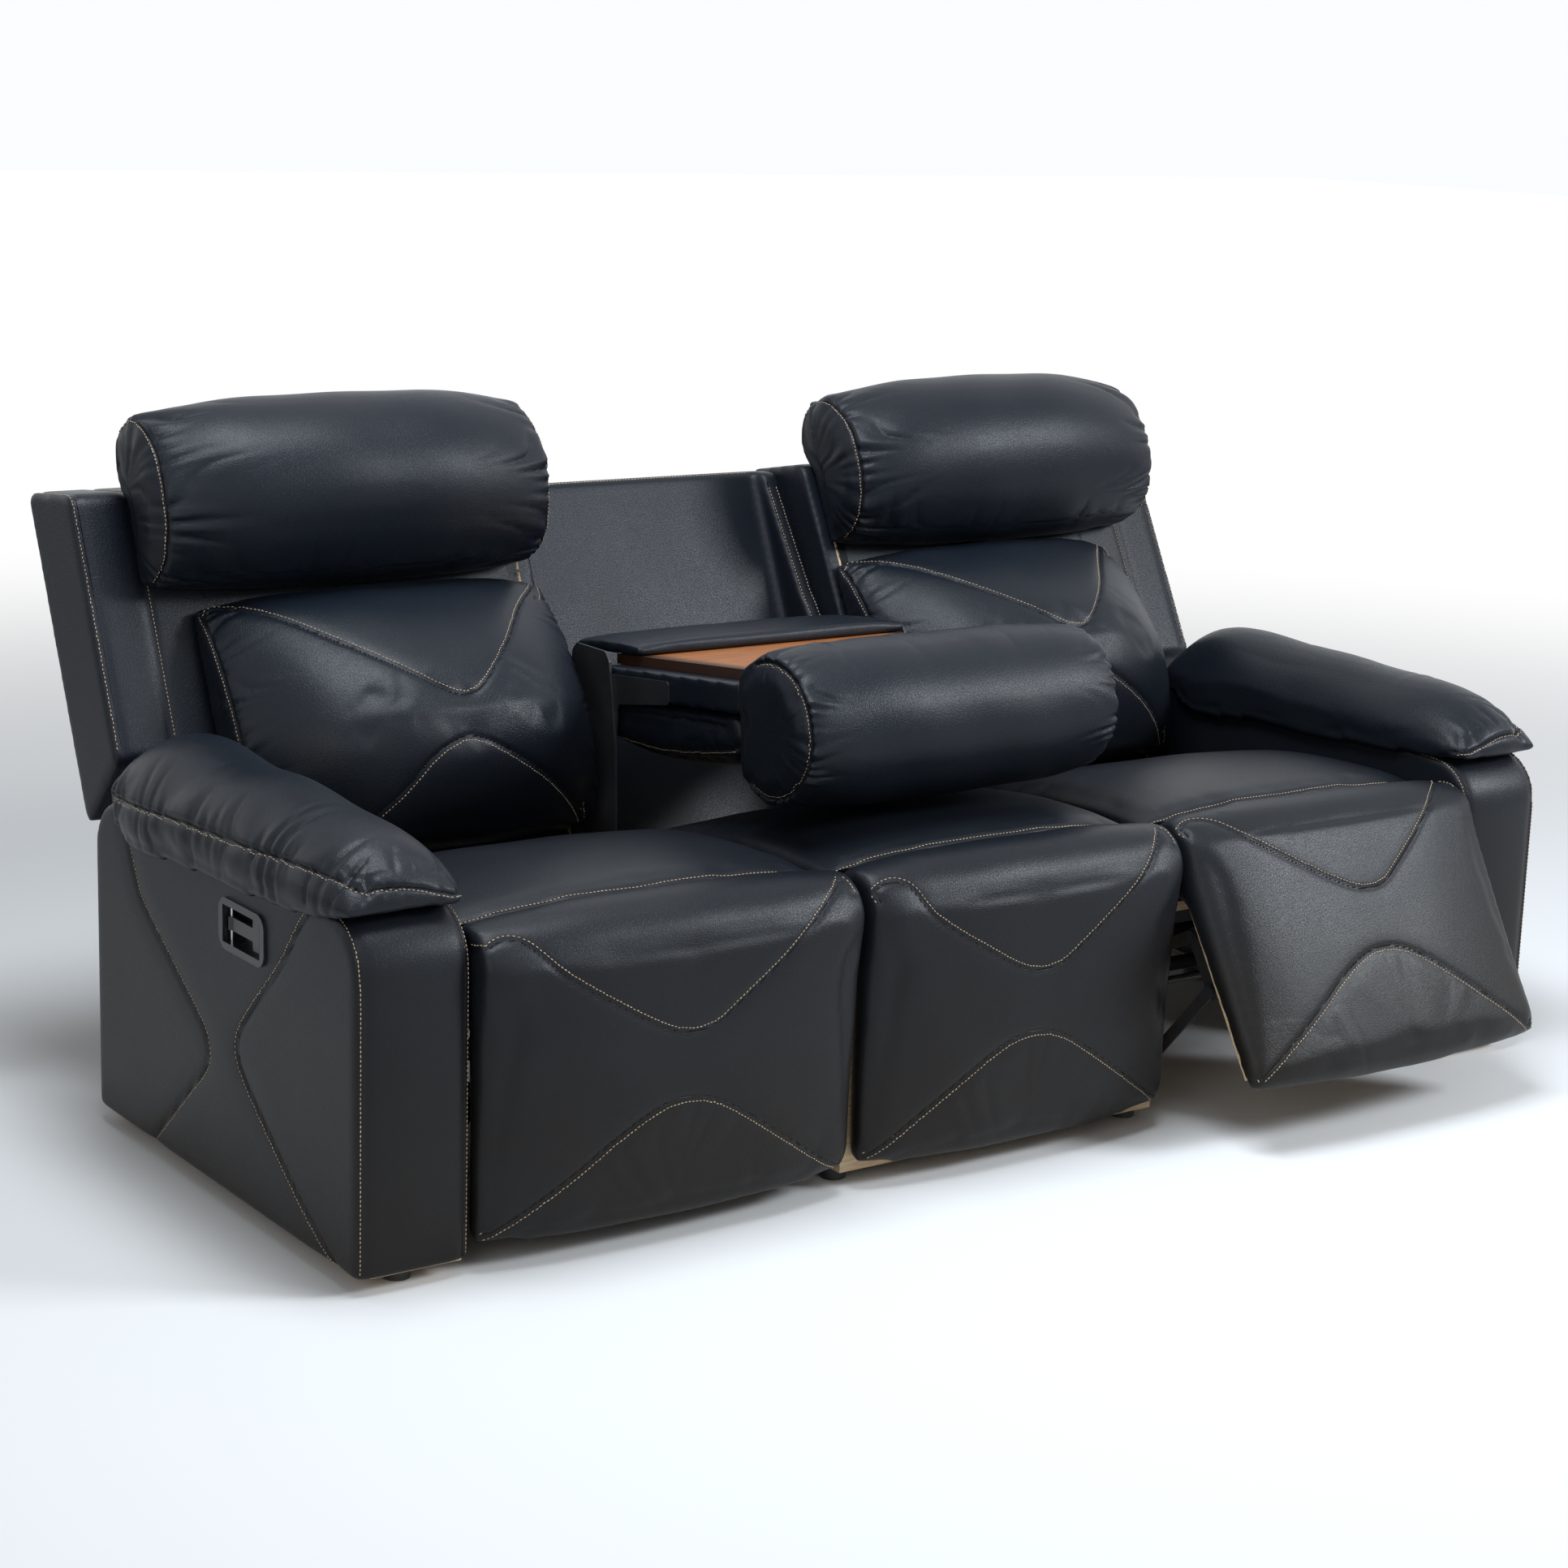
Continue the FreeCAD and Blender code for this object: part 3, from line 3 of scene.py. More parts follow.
import json
import logging
import math
from dataclasses import dataclass, field
from enum import Enum
from typing import Any, Callable, Iterable, Optional, Sequence, Union

import bmesh
import bpy
import numpy as np
from mathutils import Matrix, Vector
from mathutils.bvhtree import BVHTree


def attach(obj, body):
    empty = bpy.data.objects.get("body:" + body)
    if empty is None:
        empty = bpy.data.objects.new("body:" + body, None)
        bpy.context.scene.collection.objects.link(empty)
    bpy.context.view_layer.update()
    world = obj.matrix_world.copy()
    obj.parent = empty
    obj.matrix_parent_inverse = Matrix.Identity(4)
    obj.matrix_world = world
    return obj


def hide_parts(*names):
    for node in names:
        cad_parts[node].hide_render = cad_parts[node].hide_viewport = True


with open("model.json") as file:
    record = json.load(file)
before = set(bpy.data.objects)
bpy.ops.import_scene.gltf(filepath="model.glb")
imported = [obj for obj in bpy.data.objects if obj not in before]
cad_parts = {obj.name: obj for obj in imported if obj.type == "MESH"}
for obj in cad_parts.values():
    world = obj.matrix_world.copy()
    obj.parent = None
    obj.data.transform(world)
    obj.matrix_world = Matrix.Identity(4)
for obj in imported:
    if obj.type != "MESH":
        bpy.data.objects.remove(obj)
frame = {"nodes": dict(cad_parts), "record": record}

LOG = logging.getLogger("sofa")
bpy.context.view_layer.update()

Triple = tuple[float, float, float]
Pair = tuple[float, float]
Hold = Callable[[np.ndarray], np.ndarray]

# Places across the sofa and its hinge points, in metres
CENTRE_EDGE = 0.2825
SEAT_EDGE = 0.8775
ARM_EDGE = 1.0375
FOOTREST_HINGE = Vector((0.0, -0.370, 0.395))
BACK_PIVOT = Vector((0.0, 0.255, 0.345))
CONSOLE_PIVOT = Vector((0.0, 0.262, 0.505))
ROLL_RADIUS = 0.070
BACK_LEAN = 23.5
CONSOLE_TILT = 5.9

# How seams are laid: the spacing of a path's points, how far a ray starts outside,
# the half width of the groove and the distance kept where nothing is sewn
PATH_STEP = 0.004
RAY_START = 0.25
GROOVE = 0.0035
UNSEWN = 0.05


class Flank(Enum):
    """One of the sofa's two ends, with the pose that it is shown in."""

    LEFT = (-1, 0.0, 0.0)
    RIGHT = (1, 32.0, 4.4)

    @property
    def word(self) -> str:
        """The flank's name, as the pieces carry it."""
        return self.name.lower()

    @property
    def side(self) -> int:
        """The sign of X on this flank."""
        return self.value[0]

    @property
    def footrest(self) -> float:
        """How far the footrest is open, in degrees."""
        return self.value[1]

    @property
    def recline(self) -> float:
        """How far the back is reclined, in degrees."""
        return self.value[2]


def hinged(pivot: Vector, degrees: float, about: bool = False) -> Matrix:
    """The place of a piece that swings forward and up about a hinge across the sofa.

    Args:
        pivot: The hinge point in the row frame.
        degrees: The swing.
        about: True if the piece is drawn in the row frame, and False if its hinge is its own origin.

    Returns:
        The matrix from the drawing to the row frame.
    """
    turn = Matrix.Translation(pivot) @ Matrix.Rotation(math.radians(-degrees), 4, "X")
    return turn @ Matrix.Translation(-pivot) if about else turn


# Shader sums


class Strand:
    """A shader value that can be added, multiplied and compared in plain Python."""

    def __init__(self, recipe: "Recipe", socket: bpy.types.NodeSocket) -> None:
        self.recipe = recipe
        self.socket = socket

    def _sum(self, operation: str, first: Any, second: Any = 0.0, third: Any = 0.0) -> "Strand":
        """Adds one Math node."""
        made = self.recipe.node("ShaderNodeMath", {"operation": operation}, {0: first, 1: second, 2: third})
        return Strand(self.recipe, made.outputs[0])

    def __add__(self, other: Any) -> "Strand":
        """This value plus another."""
        return self._sum("ADD", self, other)

    __radd__ = __add__

    def __sub__(self, other: Any) -> "Strand":
        """This value less another."""
        return self._sum("SUBTRACT", self, other)

    def __rsub__(self, other: Any) -> "Strand":
        """Another value less this one."""
        return self._sum("SUBTRACT", other, self)

    def __mul__(self, other: Any) -> "Strand":
        """This value times another."""
        return self._sum("MULTIPLY", self, other)

    __rmul__ = __mul__

    def __pow__(self, other: Any) -> "Strand":
        """This value to a power."""
        return self._sum("POWER", self, other)

    def least(self, other: Any) -> "Strand":
        """The smaller of this value and another."""
        return self._sum("MINIMUM", self, other)

    def most(self, other: Any) -> "Strand":
        """The larger of this value and another."""
        return self._sum("MAXIMUM", self, other)

    def size(self) -> "Strand":
        """This value without its sign."""
        return self._sum("ABSOLUTE", self)

    def wave(self) -> "Strand":
        """The sine of this value."""
        return self._sum("SINE", self)

    def eased(self, low: float, high: float) -> "Strand":
        """0 below one value and 1 above another, with a smooth step between them."""
        made = self.recipe.node(
            "ShaderNodeMapRange", {"interpolation_type": "SMOOTHSTEP"},
            {"Value": self, "From Min": low, "From Max": high, "To Min": 0.0, "To Max": 1.0},
        )
        return Strand(self.recipe, made.outputs[0])


class Recipe:
    """One material under construction."""

    def __init__(self, name: str) -> None:
        self.material = bpy.data.materials.new(name)
        self.material.use_nodes = True
        self.tree = self.material.node_tree
        self.tree.nodes.clear()

    def node(self, kind: str, settings: Optional[dict] = None, inputs: Optional[dict] = None) -> bpy.types.Node:
        """Adds any node.

        Args:
            kind: The node's type.
            settings: Its own settings, which are set first.
            inputs: Values or strands for its sockets, by name or number.

        Returns:
            The new node.
        """
        made = self.tree.nodes.new(kind)
        for key, value in (settings or {}).items():
            setattr(made, key, value)
        for key, value in (inputs or {}).items():
            socket = made.inputs[key]
            if isinstance(value, Strand):
                self.tree.links.new(value.socket, socket)
            elif socket.type == "RGBA" and len(value) == 3:
                socket.default_value = (*value, 1.0)
            else:
                socket.default_value = value
        return made

    def out(self, made: bpy.types.Node, socket: Union[int, str] = 0) -> Strand:
        """One output of a node as a strand."""
        return Strand(self, made.outputs[socket])

    def place(self) -> Strand:
        """The point on the piece, in metres in its own coordinates."""
        return self.out(self.node("ShaderNodeTexCoord"), "Object")

    def axis(self, vector: Strand, name: str) -> Strand:
        """One of X, Y and Z of a vector."""
        return self.out(self.node("ShaderNodeSeparateXYZ", None, {0: vector}), name)

    def stretched(self, vector: Strand, scale: Triple) -> Strand:
        """A vector scaled by a Mapping node."""
        return self.out(self.node("ShaderNodeMapping", None, {"Vector": vector, "Scale": scale}))

    def noise(self, vector: Strand, scale: float, detail: float = 3.0, warp: float = 0.0) -> Strand:
        """Soft noise from 0 to 1."""
        made = self.node("ShaderNodeTexNoise", None,
                         {"Vector": vector, "Scale": scale, "Detail": detail, "Distortion": warp})
        return self.out(made, 0)

    def cells(self, vector: Strand, scale: float, feature: str = "F1") -> Strand:
        """Distances in a pattern of cells."""
        made = self.node("ShaderNodeTexVoronoi", {"feature": feature}, {"Vector": vector, "Scale": scale})
        return self.out(made, "Distance")

    def facet(self, name: str) -> Strand:
        """A value that the piece's mesh stores at its points."""
        return self.out(self.node("ShaderNodeAttribute", {"attribute_name": name}), "Fac")

    def blend(self, share: Any, first: Any, second: Any) -> Strand:
        """A colour between two colours."""
        made = self.node("ShaderNodeMix", {"data_type": "RGBA"}, {0: share, 6: first, 7: second})
        return self.out(made, 2)

    def relief(self, height: Strand, strength: float = 1.0) -> Strand:
        """A normal bumped by a height in metres."""
        made = self.node("ShaderNodeBump", None, {"Height": height, "Strength": strength, "Distance": 1.0})
        return self.out(made)

    def finish(self, **sockets: Any) -> bpy.types.Material:
        """Closes the recipe with one shader.

        Args:
            sockets: The shader's inputs, with underscores for spaces.

        Returns:
            The finished material.
        """
        inputs = {key.replace("_", " "): value for key, value in sockets.items()}
        shader = self.node("ShaderNodeBsdfPrincipled", None, inputs)
        output = self.node("ShaderNodeOutputMaterial")
        self.tree.links.new(shader.outputs[0], output.inputs[0])
        return self.material


# Finishes


@dataclass(frozen=True)
class Leather:
    """Soft black bonded leather with a fine pebbled grain."""

    name: str = "black_leather"
    # upper and lower are painted light: a blue tint on top for cool light from above, a brown tint low down for warm
    # bounce from a floor
    upper: Triple = (0.0056, 0.0086, 0.0140)
    lower: Triple = (0.0078, 0.0060, 0.0048)
    roughness: float = 0.37
    gloss: float = 0.21
    grain: float = 0.00010
    crease: float = 0.0011

    def make(self) -> bpy.types.Material:
        """Builds the material.

        Returns:
            Black leather with painted light, tinted blue on top and warm brown towards the floor, and painted shade
            in a dark crease along each seam.
        """
        r = Recipe(self.name)
        place = r.place()
        # Painted light: the colour runs by height from the warm lower tint to the blue upper tint
        level = r.axis(place, "Z").eased(0.10, 0.62)
        cloud = r.noise(place, 5.0, 4.0)
        base = r.blend(level, self.lower, self.upper)
        # Lighter random patches laid over the painted light
        mottled_painted_light = r.blend(cloud.eased(0.35, 0.75) * 0.5, base, (0.0095, 0.0115, 0.0150))
        seam = r.facet("seam")
        inside = 1.0 - seam.eased(0.0005, 0.0019)
        # Painted shade: the colour darkens in the groove along each seam
        colour = r.blend(inside, mottled_painted_light, (0.0015, 0.0015, 0.0018))
        pebbles = r.cells(place, 620.0).eased(0.05, 0.75)
        fine = r.noise(place, 1700.0, 2.0)
        lines = r.cells(r.stretched(place, (1.0, 0.8, 1.2)), 210.0, "DISTANCE_TO_EDGE").eased(0.0, 0.10)
        folds = r.noise(place, 60.0, 4.0, 0.8) * r.facet("fold")
        height = (pebbles * -1.0 + fine * 0.5 + lines * 0.7) * self.grain + folds * 0.0005 - inside * self.crease
        shine = self.roughness + (cloud - 0.5) * 0.16 + (fine - 0.5) * 0.10 + inside * 0.3
        return r.finish(Base_Color=colour, Roughness=shine, Normal=r.relief(height),
                        Specular_IOR_Level=self.gloss)


@dataclass(frozen=True)
class Thread:
    """Tan twisted upholstery thread."""

    name: str = "tan_thread"
    colour: Triple = (0.60, 0.45, 0.30)

    def make(self) -> bpy.types.Material:
        """Builds the thread with a slight change of tone from stitch to stitch."""
        r = Recipe(self.name)
        place = r.place()
        tone = r.noise(place, 90.0, 2.0)
        twist = (r.axis(place, "X") + r.axis(place, "Z") * 0.8 + r.axis(place, "Y") * 1.1) * 5200.0
        colour = r.blend(tone.eased(0.3, 0.7), self.colour, (0.38, 0.27, 0.17))
        return r.finish(Base_Color=colour, Roughness=0.62 + tone * 0.1,
                        Normal=r.relief(twist.wave() * 0.00004))


@dataclass(frozen=True)
class TrayVeneer:
    """Orange-brown stained veneer with edges burnt dark."""

    name: str = "tray_veneer"
    half: float = 0.240
    front: float = -0.350
    rear: float = 0.020
    level: float = 0.126

    def make(self) -> bpy.types.Material:
        """Builds the veneer, whose grain runs across the sofa.

        Returns:
            The material; its dark edges are measured from the tray's own border.
        """
        r = Recipe(self.name)
        place = r.place()
        across, along, up = (r.axis(place, name) for name in "XYZ")
        tilt = math.radians(CONSOLE_TILT)
        depth = (along - CONSOLE_PIVOT.y) * math.cos(tilt) - (up - CONSOLE_PIVOT.z) * math.sin(tilt)
        rise = (along - CONSOLE_PIVOT.y) * math.sin(tilt) + (up - CONSOLE_PIVOT.z) * math.cos(tilt)
        border = (self.half - across.size()).least(depth - self.front).least(self.rear - depth)
        wander = r.noise(place, 18.0, 3.0)
        burnt = 1.0 - (border + (wander - 0.5) * 0.018).eased(0.004, 0.038)
        edge_face = 1.0 - (rise - self.level + 0.0012).eased(0.0, 0.0008)
        streaks = r.noise(r.stretched(place, (3.0, 55.0, 55.0)), 4.0, 6.0, 1.4)
        pores = r.noise(r.stretched(place, (14.0, 420.0, 420.0)), 3.0, 4.0)
        wood = r.blend(streaks.eased(0.30, 0.72), (0.30, 0.098, 0.026), (0.50, 0.185, 0.055))
        flecked = r.blend(pores.eased(0.56, 0.72) * 0.55, wood, (0.12, 0.035, 0.010))
        dark = r.blend(burnt.most(edge_face) * 0.93, flecked, (0.014, 0.006, 0.003))
        height = (pores * -0.00005) + streaks * 0.00003
        return r.finish(Base_Color=dark, Roughness=0.30 + streaks * 0.14, Normal=r.relief(height),
                        Coat_Weight=0.35, Coat_Roughness=0.18)


@dataclass(frozen=True)
class FrameWood:
    """Raw plywood and softwood boards."""

    name: str = "frame_wood"

    def make(self) -> bpy.types.Material:
        """Builds pale timber with long grain and a few darker veins."""
        r = Recipe(self.name)
        place = r.place()
        grain = r.noise(r.stretched(place, (4.0, 60.0, 60.0)), 2.4, 6.0, 1.8)
        veins = r.noise(r.stretched(place, (9.0, 240.0, 240.0)), 2.0, 3.0)
        wood = r.blend(grain.eased(0.3, 0.7), (0.50, 0.34, 0.19), (0.66, 0.50, 0.31))
        colour = r.blend(veins.eased(0.58, 0.70) * 0.6, wood, (0.27, 0.16, 0.08))
        return r.finish(Base_Color=colour, Roughness=0.66 + grain * 0.15,
                        Normal=r.relief(veins * 0.00012 + grain * 0.00008))


@dataclass(frozen=True)
class Coating:
    """A painted or moulded finish in one colour, with its own texture."""

    name: str
    colour: Triple
    roughness: float
    peel: float = 0.00002
    peel_scale: float = 500.0
    coat: float = 0.0
    metallic: float = 0.0

    def make(self) -> bpy.types.Material:
        """Builds the coating with a faint orange peel and dust in its tone."""
        r = Recipe(self.name)
        place = r.place()
        peel = r.noise(place, self.peel_scale, 2.0)
        dust = r.noise(place, 14.0, 5.0)
        lighter = tuple(min(1.0, part * 1.5 + 0.004) for part in self.colour)
        colour = r.blend(dust.eased(0.45, 0.8), self.colour, lighter)
        return r.finish(Base_Color=colour, Roughness=self.roughness + (dust - 0.5) * 0.14,
                        Metallic=self.metallic, Coat_Weight=self.coat, Coat_Roughness=0.08,
                        Normal=r.relief(peel * self.peel))


@dataclass(frozen=True)
class Webbing:
    """Woven black elastic strap."""

    name: str = "strap_webbing"

    def make(self) -> bpy.types.Material:
        """Builds the strap from crossing ribs of yarn."""
        r = Recipe(self.name)
        place = r.place()
        long_ribs = (r.axis(place, "X") * 2100.0).wave()
        cross_ribs = (r.axis(place, "Y") * 1500.0).wave()
        weave = long_ribs * cross_ribs
        edge = r.noise(place, 300.0, 2.0)
        colour = r.blend(weave.eased(-0.6, 0.8), (0.012, 0.012, 0.012), (0.045, 0.045, 0.048))
        return r.finish(Base_Color=colour, Roughness=0.80 + edge * 0.1, Normal=r.relief(weave * 0.00018))


@dataclass
class Wardrobe:
    """Every finish of the sofa, made once and shared."""

    made: dict[str, bpy.types.Material] = field(default_factory=dict)

    def stock(self) -> None:
        """Makes the finishes."""
        finishes = [
            Leather(), Thread(), TrayVeneer(), FrameWood(), Webbing(),
            Coating("satin_black_steel", (0.018, 0.018, 0.020), 0.36, 0.00004, 380.0, metallic=0.0),
            Coating("plain_pin_steel", (0.52, 0.52, 0.54), 0.30, 0.00001, 900.0, metallic=1.0),
            Coating("handle_plastic", (0.010, 0.010, 0.011), 0.30, 0.00003, 900.0, coat=0.15),
            Coating("cup_ring_gloss", (0.008, 0.009, 0.011), 0.14, 0.00001, 60.0, coat=0.6),
            Coating("glide_plastic", (0.020, 0.020, 0.021), 0.60, 0.00005, 500.0),
        ]
        for finish in finishes:
            self.made[finish.name] = finish.make()

    def dress(self, piece: bpy.types.Object, name: str) -> None:
        """Gives a piece one finish all over."""
        piece.data.materials.clear()
        piece.data.materials.append(self.made[name])


CAD_FINISHES = {
    "leather": "black_leather",
    "frame_wood": "frame_wood",
    "webbing": "strap_webbing",
    "black_steel": "satin_black_steel",
    "pin_steel": "plain_pin_steel",
    "handle_plastic": "handle_plastic",
    "cup_plastic": "cup_ring_gloss",
    "tray_wood": "tray_veneer",
    "glide_plastic": "glide_plastic",
}


# Mesh work


def shown(name: str, mesh: bpy.types.Mesh) -> bpy.types.Object:
    """Puts a mesh in the scene as an object at the origin."""
    made = bpy.data.objects.new(name, mesh)
    bpy.context.scene.collection.objects.link(made)
    return made


def settled(piece: bpy.types.Object) -> bpy.types.Mesh:
    """The mesh of a piece with its modifiers applied."""
    graph = bpy.context.evaluated_depsgraph_get()
    return bpy.data.meshes.new_from_object(piece.evaluated_get(graph))


def carried(points: np.ndarray, matrix: Matrix) -> np.ndarray:
    """Points moved by a matrix."""
    table = np.array(matrix)
    return points @ table[:3, :3].T + table[:3, 3]


def shape_of(*nodes: str) -> bpy.types.Mesh:
    """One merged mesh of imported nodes.

    Args:
        nodes: The nodes' names.

    Returns:
        A new closed mesh in the row frame.
    """
    bm = bmesh.new()
    for node in nodes:
        bm.from_mesh(frame["nodes"][node].data)
    bmesh.ops.remove_doubles(bm, verts=bm.verts, dist=1e-5)
    mesh = bpy.data.meshes.new(nodes[0] + "_form")
    bm.to_mesh(mesh)
    bm.free()
    return mesh


def add_block(bm: bmesh.types.BMesh, outline: Sequence[Pair], low: float, high: float) -> None:
    """Adds a closed block with one outline to a bmesh.

    Args:
        bm: The bmesh to add to.
        outline: Corners as depth and height.
        low: One end across the sofa.
        high: The other end.
    """
    ring = [bm.verts.new((low, depth, height)) for depth, height in outline]
    made = bmesh.ops.extrude_face_region(bm, geom=[bm.faces.new(ring)])
    moved = [item for item in made["geom"] if isinstance(item, bmesh.types.BMVert)]
    bmesh.ops.translate(bm, verts=moved, vec=(high - low, 0.0, 0.0))


def blocks(parts: Iterable[tuple[Sequence[Pair], float, float]], place: Matrix,
           rounds: Optional[dict[Pair, float]] = None) -> bpy.types.Mesh:
    """A mesh of overlapping blocks.

    Args:
        parts: Each block's outline and its two ends across the sofa.
        place: The matrix from the drawing to the row frame.
        rounds: Radii for the long edges that start at a corner of an outline.

    Returns:
        The mesh, with every block closed.
    """
    bm = bmesh.new()
    for outline, low, high in parts:
        add_block(bm, outline, low, high)
    for (depth, height), radius in (rounds or {}).items():
        edges = [
            edge for edge in bm.edges
            if all(abs(v.co.y - depth) < 1e-6 and abs(v.co.z - height) < 1e-6 for v in edge.verts)
        ]
        bmesh.ops.bevel(bm, geom=edges, offset=radius, segments=10, profile=0.5, affect="EDGES", material=-1)
    bmesh.ops.recalc_face_normals(bm, faces=bm.faces)
    bmesh.ops.transform(bm, matrix=place, verts=bm.verts)
    mesh = bpy.data.meshes.new("blocks")
    bm.to_mesh(mesh)
    bm.free()
    return mesh


def rewoven(mesh: bpy.types.Mesh, voxel: float, passes: int) -> bpy.types.Mesh:
    """A closed mesh made again of even small faces, a little smoothed.

    Args:
        mesh: Any closed mesh.
        voxel: The size of the new faces in metres.
        passes: How often the points are smoothed.

    Returns:
        The new mesh.
    """
    piece = shown("reweave", mesh)
    remesh = piece.modifiers.new("Reweave", "REMESH")
    remesh.mode = "VOXEL"
    remesh.voxel_size = voxel
    made = settled(piece)
    bpy.data.objects.remove(piece)
    bm = bmesh.new()
    bm.from_mesh(made)
    for _ in range(passes):
        bmesh.ops.smooth_vert(bm, verts=bm.verts, factor=0.5, use_axis_x=True, use_axis_y=True, use_axis_z=True)
    bm.to_mesh(made)
    bm.free()
    return made


class Skin:
    """The leather surface of one piece, worked on point by point."""

    def __init__(self, piece: bpy.types.Object) -> None:
        self.piece = piece
        self.points = self._read("vertices", "co")

    def _read(self, kind: str, name: str) -> np.ndarray:
        """Reads one vector for each point."""
        source = getattr(self.piece.data, kind)
        values = np.zeros(len(self.piece.data.vertices) * 3, np.float32)
        source.foreach_get(name, values)
        return values.reshape(-1, 3).astype(float)

    def normals(self) -> np.ndarray:
        """The directions out of the surface."""
        return self._read("vertex_normals", "vector")

    def write(self) -> None:
        """Stores the points in the mesh."""
        self.piece.data.vertices.foreach_set("co", self.points.astype(np.float32).ravel())
        self.piece.data.update()

    def push(self, amount: np.ndarray) -> None:
        """Moves every point outwards by its own amount."""
        self.points += self.normals() * amount[:, None]
        self.write()

    def soften(self, passes: int) -> None:
        """Evens the surface out.

        Args:
            passes: How often every point moves towards its neighbours.
        """
        bm = bmesh.new()
        bm.from_mesh(self.piece.data)
        for _ in range(passes):
            bmesh.ops.smooth_vert(bm, verts=bm.verts, factor=0.5, use_axis_x=True, use_axis_y=True, use_axis_z=True)
        bm.to_mesh(self.piece.data)
        bm.free()
        self.points = self._read("vertices", "co")

    def store(self, name: str, values: np.ndarray) -> None:
        """Keeps one value for each point, for the material."""
        mesh = self.piece.data
        layer = mesh.attributes.get(name) or mesh.attributes.new(name, "FLOAT", "POINT")
        layer.data.foreach_set("value", values.astype(np.float32))

    def tree(self) -> BVHTree:
        """A search tree of the surface as it is now."""
        bm = bmesh.new()
        bm.from_mesh(self.piece.data)
        made = BVHTree.FromBMesh(bm)
        bm.free()
        return made


def smooth_path(through: Sequence[Triple], step: float) -> np.ndarray:
    """Points close together on a smooth line through a few points.

    Args:
        through: The points that the line passes.
        step: The spacing in metres.

    Returns:
        One row for each point.
    """
    knots = np.array(through, float)
    knots = np.vstack([2 * knots[0] - knots[1], knots, 2 * knots[-1] - knots[-2]])
    line = []
    for a, b, c, d in zip(knots[:-3], knots[1:-2], knots[2:-1], knots[3:]):
        count = max(2, int(np.linalg.norm(c - b) / step * 1.1))
        t = np.linspace(0, 1, count, endpoint=False)[:, None]
        line.append(0.5 * (2 * b + (c - a) * t + (2 * a - 5 * b + 4 * c - d) * t ** 2
                           + (3 * b - a - 3 * c + d) * t ** 3))
    line.append(knots[-2][None, :])
    dense = np.vstack(line)
    gaps = np.linalg.norm(np.diff(dense, axis=0), axis=1)
    run = np.concatenate([[0], np.cumsum(gaps)])
    places = np.linspace(0, run[-1], max(3, int(run[-1] / step)))
    return np.column_stack([np.interp(places, run, dense[:, k]) for k in range(3)])


@dataclass
class Trace:
    """How the points of a surface lie beside a line."""

    distance: np.ndarray
    run: np.ndarray
    foot: np.ndarray

    @classmethod
    def measured(cls, points: np.ndarray, line: np.ndarray, reach: float) -> "Trace":
        """Measures a surface against a line.

        Args:
            points: One row for each point.
            line: The line's own points.
            reach: Points farther away than this aren't measured.

        Returns:
            The distance to the line, the length along it at the nearest place, and that place.
        """
        count = len(points)
        distance, run, foot = np.full(count, 9.0), np.zeros(count), np.zeros((count, 3))
        knots = np.vstack([line[:-1:2], line[-1:]])
        near = np.all((points > knots.min(0) - reach) & (points < knots.max(0) + reach), axis=1)
        chosen = np.flatnonzero(near)
        x, y, z = points[chosen].astype(np.float32).T
        best, place = np.full(len(x), 81.0, np.float32), np.zeros(len(x), np.float32)
        start = 0.0
        for a, b in zip(knots[:-1], knots[1:]):
            i, j, k = (float(part) for part in b - a)
            square = max(i * i + j * j + k * k, 1e-12)
            dx, dy, dz = x - float(a[0]), y - float(a[1]), z - float(a[2])
            t = np.clip((dx * i + dy * j + dz * k) / square, 0, 1)
            gap = (dx - t * i) ** 2 + (dy - t * j) ** 2 + (dz - t * k) ** 2
            closer = gap < best
            best = np.where(closer, gap, best)
            place = np.where(closer, start + t * math.sqrt(square), place)
            start += math.sqrt(square)
        lengths = np.concatenate([[0], np.cumsum(np.linalg.norm(np.diff(knots, axis=0), axis=1))])
        distance[chosen], run[chosen] = np.sqrt(best), place
        foot[chosen] = np.column_stack([np.interp(place, lengths, knots[:, k]) for k in range(3)])
        return cls(distance, run, foot)


@dataclass(frozen=True)
class Gather:
    """Puffs and sharp valleys where extra leather is sewn into a seam."""

    depth: float = 0.005
    reach: float = 0.08
    pitch: float = 0.024
    toward: Triple = (0.0, 0.0, 0.0)
    other_side: float = 0.35
    shift: float = 0.0

    def amount(self, points: np.ndarray, trace: Trace, place: Matrix) -> tuple[np.ndarray, np.ndarray]:
        """How far each point moves out.

        Args:
            points: The piece's points.
            trace: How they lie beside the seam.
            place: The matrix from the piece's drawing to the row frame.

        Returns:
            The moves, and how strongly each point is gathered, from 0 to 1.
        """
        distance, run, foot = trace.distance, trace.run, trace.foot
        phase = run / self.pitch + self.shift
        phase = phase + 0.42 * np.sin(run / self.pitch * 1.7 + self.shift) + 0.3 * np.sin(run / self.pitch * 0.61)
        lean = distance / self.pitch * 0.35 * np.sin(run / self.pitch * 0.83 + 2 * self.shift)
        length = self.reach * (0.62 + 0.38 * np.sin(run / self.pitch * 2.3 + 3 * self.shift))
        puffs = np.abs(np.sin(math.pi * (phase + lean))) ** 0.7 - 0.62
        small = np.abs(np.sin(math.pi * (phase * 2.17 + lean + 0.3))) - 0.6
        fade = np.exp(-(distance / length) ** 2 * 1.6) * np.clip(distance / 0.006, 0.25, 1)
        near = np.exp(-(distance / (length * 0.45)) ** 2)
        strength = 0.7 + 0.3 * np.sin(run / self.pitch * 1.31 + self.shift)
        if any(self.toward):
            way = np.array(place.to_3x3() @ Vector(self.toward))
            side = (points - foot) @ way / np.maximum(distance, 1e-4)
            strength = strength * np.where(side > -0.1, 1.0, self.other_side)
        return (puffs * fade + small * near * 0.28) * strength * self.depth, fade * strength


